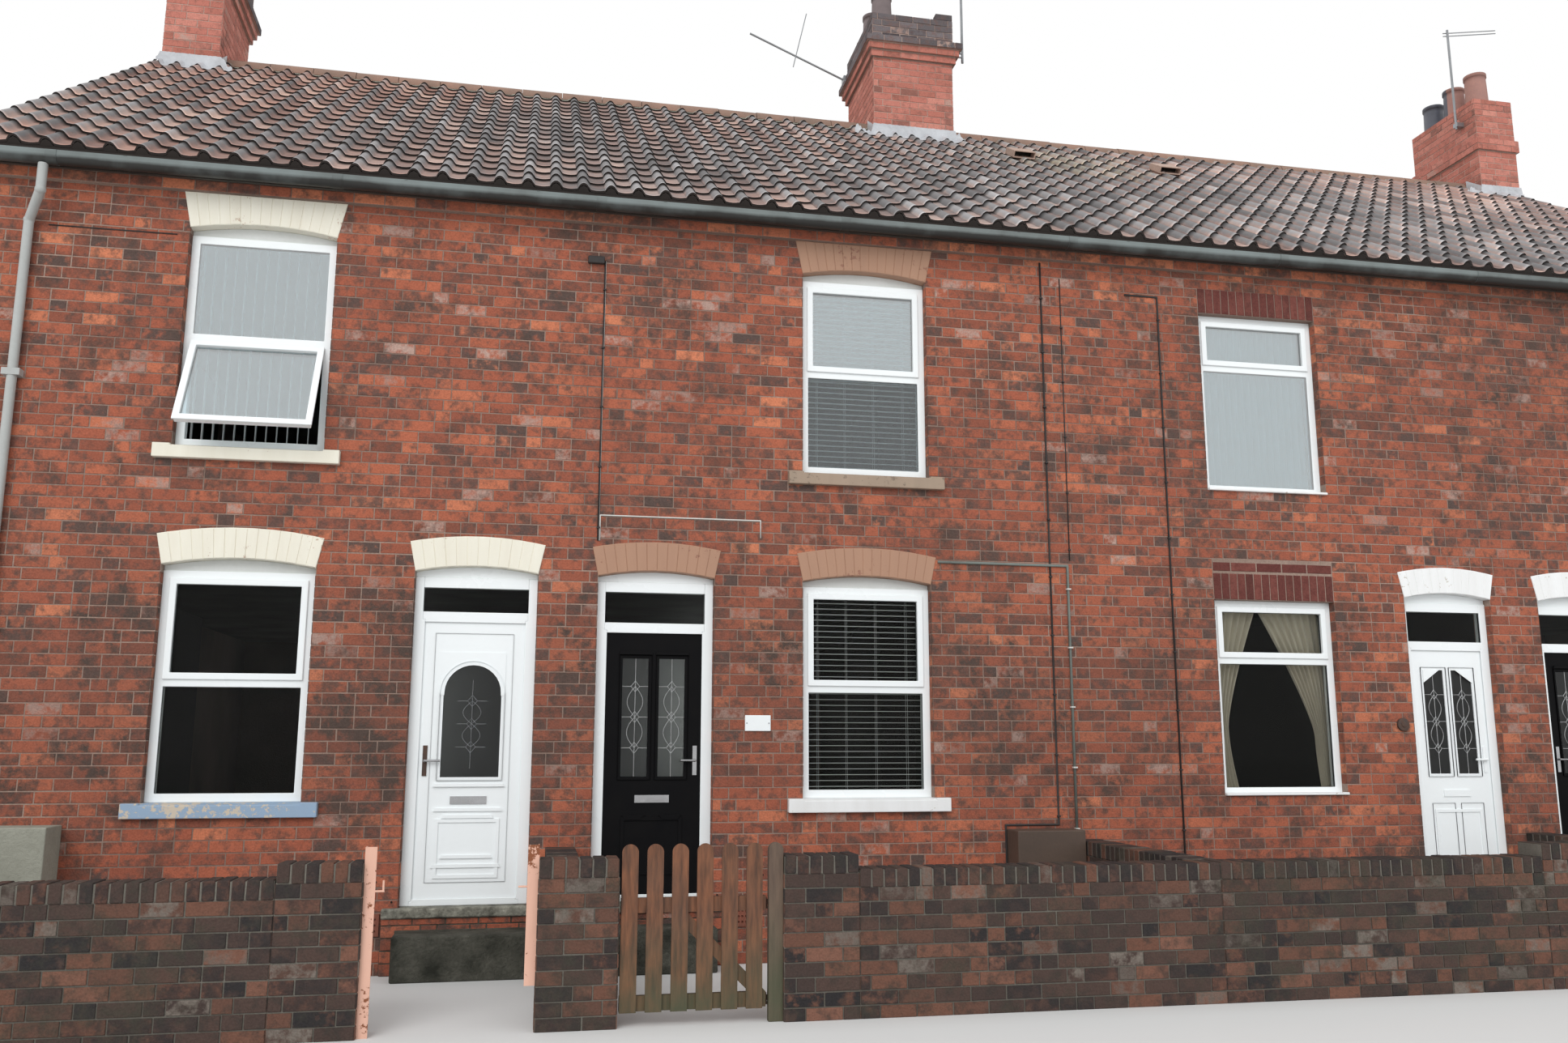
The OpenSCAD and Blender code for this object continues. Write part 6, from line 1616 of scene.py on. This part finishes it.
# A curtain as one gathered sheet: its edges run where the two functions of the height say
def buildCurtain(name, outer, inner, low, high, y, cloth, folds):
    bm = bmesh.new()
    made = bmesh.ops.create_grid(bm, x_segments=folds * 8, y_segments=24, size=0.5)["verts"]
    for v in made:
        u, t = v.co.x + 0.5, v.co.y + 0.5
        x0, x1 = outer(t), inner(t)
        squeeze = min(abs(x1 - x0) / 0.30, 1.0)
        fold = math.sin(2 * math.pi * folds * u + 0.6 * math.sin(3 * t)) + 0.3 * math.sin(4 * math.pi * folds * u)
        v.co = Vector((x0 + u * (x1 - x0), y + fold * curtains["depth"] * (0.5 + 0.5 * squeeze),
                       low + t * (high - low)))
    bm.normal_update()
    faceTo(bm, bm.faces, (0, -1, 0))
    area = sum(f.calc_area() for f in bm.faces)
    piece = fromBmesh(name, bm, cloth, smoothAngle=180)
    return piece


def tiedEdge(top, tie, foot, tieAt):
    # From the foot, in to the tie, and out again to the top in a soft sweep
    def edge(t):
        if t < tieAt:
            return foot + (tie - foot) * math.sin(math.pi / 2 * t / tieAt)
        return tie + (top - tie) * ((t - tieAt) / (1 - tieAt)) ** 1.25
    return edge


def buildCurtains():
    c, i = curtains, row["flatHouse"]
    x, half, y = windowX(i), row["windows"][i] / 2 - c["inset"], blindY + 0.01
    low, high = row["lowSill"] + c["foot"], row["lowHead"] - row["flatDropLow"] - c["head"]
    netLow, netHigh = row["upSill"] + c["netFoot"], row["upHead"] - row["flatDropUp"] - c["netHead"]
    rods = bmesh.new()
    for z in (high + 0.005, netHigh + 0.01):
        addRod(rods, (x - half - c["inset"], y, z), (x + half + c["inset"], y, z), c["rod"], 12)
    rod = fromBmesh("curtain_rods", rods, slatWhite, smoothAngle=40)
    for side, name, (top, tie, foot, tieAt), folds in ((-1, "left_curtain", c["leftTie"], c["folds"][0]),
                                                       (1, "right_curtain", c["rightTie"], c["folds"][1])):
        edge = tiedEdge(x + top, x + side * half + tie, x + side * half + foot, tieAt)
        buildCurtain(name, lambda t: x + side * (half + c["past"]), edge, low, high, y, curtainCloth, folds)
    buildCurtain("net_curtain", lambda t: x - half, lambda t: x + half, netLow, netHigh, y, netCloth, c["folds"][2])


buildCurtains()
print("blinds and curtains hung")

# Small pieces of the front: a bare number plate, a round boss, and clips on the cables.
# A run of clips has its place, its lowest and highest, half the cable's width, and its finish.
fittings = {"plate": (-2.68, 1.77, 0.20, 0.12), "plateThick": 0.010, "screwIn": 0.014,
            "boss": (2.926, 1.784, 0.055), "clipEvery": 0.48, "clip": 0.006,
            "clipRuns": ((-3.935, 3.25, 5.35, 0.009, 0), (-0.240, 1.05, 5.60, 0.009, 0), (-0.064, 3.20, 5.50, 0.006, 0),
                         (0.840, 0.45, 5.40, 0.009, 0), (-0.0895, 0.95, 2.95, 0.014, 1))}


def buildNumberPlate(face):
    bm = bmesh.new()
    x, z, w, h = fittings["plate"]
    addBox(bm, (x - w / 2, face - fittings["plateThick"], z - h / 2), (x + w / 2, face, z + h / 2))
    bevelAll(bm, 0.003, 2)
    for side in (-1, 1):
        screwX = x + side * (w / 2 - fittings["screwIn"])
        addRod(bm, (screwX, face - 0.013, z), (screwX, face - 0.009, z), 0.005, 12, 1)
    fromBmesh("number_plate", bm, [plastic, steel])


def buildBoss(face):
    bm = bmesh.new()
    x, z, radius = fittings["boss"]
    addRod(bm, (x, face - 0.022, z), (x, face, z), radius, 32)
    addRod(bm, (x, face - 0.028, z), (x, face - 0.021, z), radius * 0.42, 24)
    bevelAll(bm, 0.004, 3)
    fromBmesh("bell_boss", bm, ironBlack, smoothAngle=40)


def buildClips():
    bm = bmesh.new()
    clip = fittings["clip"]
    for x, low, high, half, finish in fittings["clipRuns"]:
        for z in stepsFrom(low, high, fittings["clipEvery"]):
            addBox(bm, (x - half - 0.004, row["face"] - 2 * half - 0.006, z - clip),
                   (x + half + 0.004, row["face"] - 0.001, z + clip), material=finish)
    bevelAll(bm, 0.002, 2)
    fromBmesh("cable_clips", bm, [blackCable, whiteCable])


buildNumberPlate(row["face"] - bond["out"])
buildBoss(row["face"] - bond["out"])
buildClips()

# Nodes that show as they are, by finish
nodeFinishes = (
    (mortar, ("front_plinth", "front_walls", "front_piers", "front_wall_upper", "rear_wall", "end_walls",
              "soldier_lintels")),
    (plasterInShade, ("party_walls", "chimney_breasts")), (boards, ("ground_floors", "upper_floors")),
    (feltAndShade, ("roof_front", "roof_rear")), (fasciaPaint, ("fascias",)), (gutterPaint, ("gutters",)),
    (greyPlastic, ("downpipes",)), (steel, ("aerials",)), (greenPaint, ("rear_doors",)), (airClay, ("air_bricks",)),
    (doorGlass, ("door_a_glass", "door_b_glass", "door_c_glass", "door_d_glass")),
    (pinkPaint, ("gate_posts",)), (ironBlack, ("hinges",)),
)
for finish, names in nodeFinishes:
    for name in names:
        data = nodes[name].data
        data.materials.clear()
        data.materials.append(finish)
print("finishes given")

stageValues = {"floorColor": (0.74, 0.74, 0.73), "worldColor": (0.86, 0.87, 0.88), "worldStrength": 1.0,
               "sunStrength": 1.4, "sunSize": 40, "sunTilt": 58, "sunTurn": -25, "floorSize": 90}


def buildStage():
    bm = bmesh.new()
    bmesh.ops.create_grid(bm, x_segments=1, y_segments=1, size=stageValues["floorSize"])
    floor = bpy.data.objects.new("floor", toMesh("floor", bm))
    bpy.context.scene.collection.objects.link(floor)
    material, tree, surface = startMaterial("paleFloor", 0.9)
    surface.inputs["Base Color"].default_value = (*stageValues["floorColor"], 1)
    floor.data.materials.append(material)
    world = bpy.data.worlds.new("paleSky")
    bpy.context.scene.world = world
    world.use_nodes = True
    tree = world.node_tree
    background = tree.nodes["Background"]
    background.inputs["Color"].default_value = (*stageValues["worldColor"], 1)
    background.inputs["Strength"].default_value = stageValues["worldStrength"]
    white = addNode(tree, "ShaderNodeBackground", {"Color": (1, 1, 1, 1), "Strength": 1.0})
    path = addNode(tree, "ShaderNodeLightPath")
    seen = mathNode(tree, "MAXIMUM", path.outputs["Is Camera Ray"], path.outputs["Is Glossy Ray"])
    seen = mathNode(tree, "MAXIMUM", seen, path.outputs["Is Transmission Ray"])
    mix = addNode(tree, "ShaderNodeMixShader", {0: seen, 1: background.outputs[0], 2: white.outputs[0]})
    tree.links.new(mix.outputs[0], tree.nodes["World Output"].inputs["Surface"])
    sun = bpy.data.lights.new("softSun", "SUN")
    sun.energy = stageValues["sunStrength"]
    sun.angle = math.radians(stageValues["sunSize"])
    lamp = bpy.data.objects.new("softSun", sun)
    lamp.visible_glossy = False
    lamp.visible_transmission = False
    lamp.rotation_euler = (math.radians(stageValues["sunTilt"]), 0, math.radians(stageValues["sunTurn"]))
    bpy.context.scene.collection.objects.link(lamp)


cameraValues = {"place": (-4.425, -9.778, 1.631), "right": 11.404, "up": 9.906, "roll": -0.103, "lens": 28.934}


def buildCamera():
    data = bpy.data.cameras.new("streetCamera")
    data.lens = cameraValues["lens"]
    data.sensor_width = 36.0
    data.clip_end = 400.0
    camera = bpy.data.objects.new("streetCamera", data)
    turn = (Matrix.Rotation(math.radians(-cameraValues["right"]), 4, "Z")
            @ Matrix.Rotation(math.radians(90 + cameraValues["up"]), 4, "X")
            @ Matrix.Rotation(math.radians(-cameraValues["roll"]), 4, "Z"))
    camera.matrix_world = Matrix.Translation(cameraValues["place"]) @ turn
    bpy.context.scene.collection.objects.link(camera)
    bpy.context.scene.camera = camera


buildStage()
buildCamera()
bpy.context.scene.view_settings.view_transform = "Standard"
bpy.context.view_layer.update()
print("stage set")
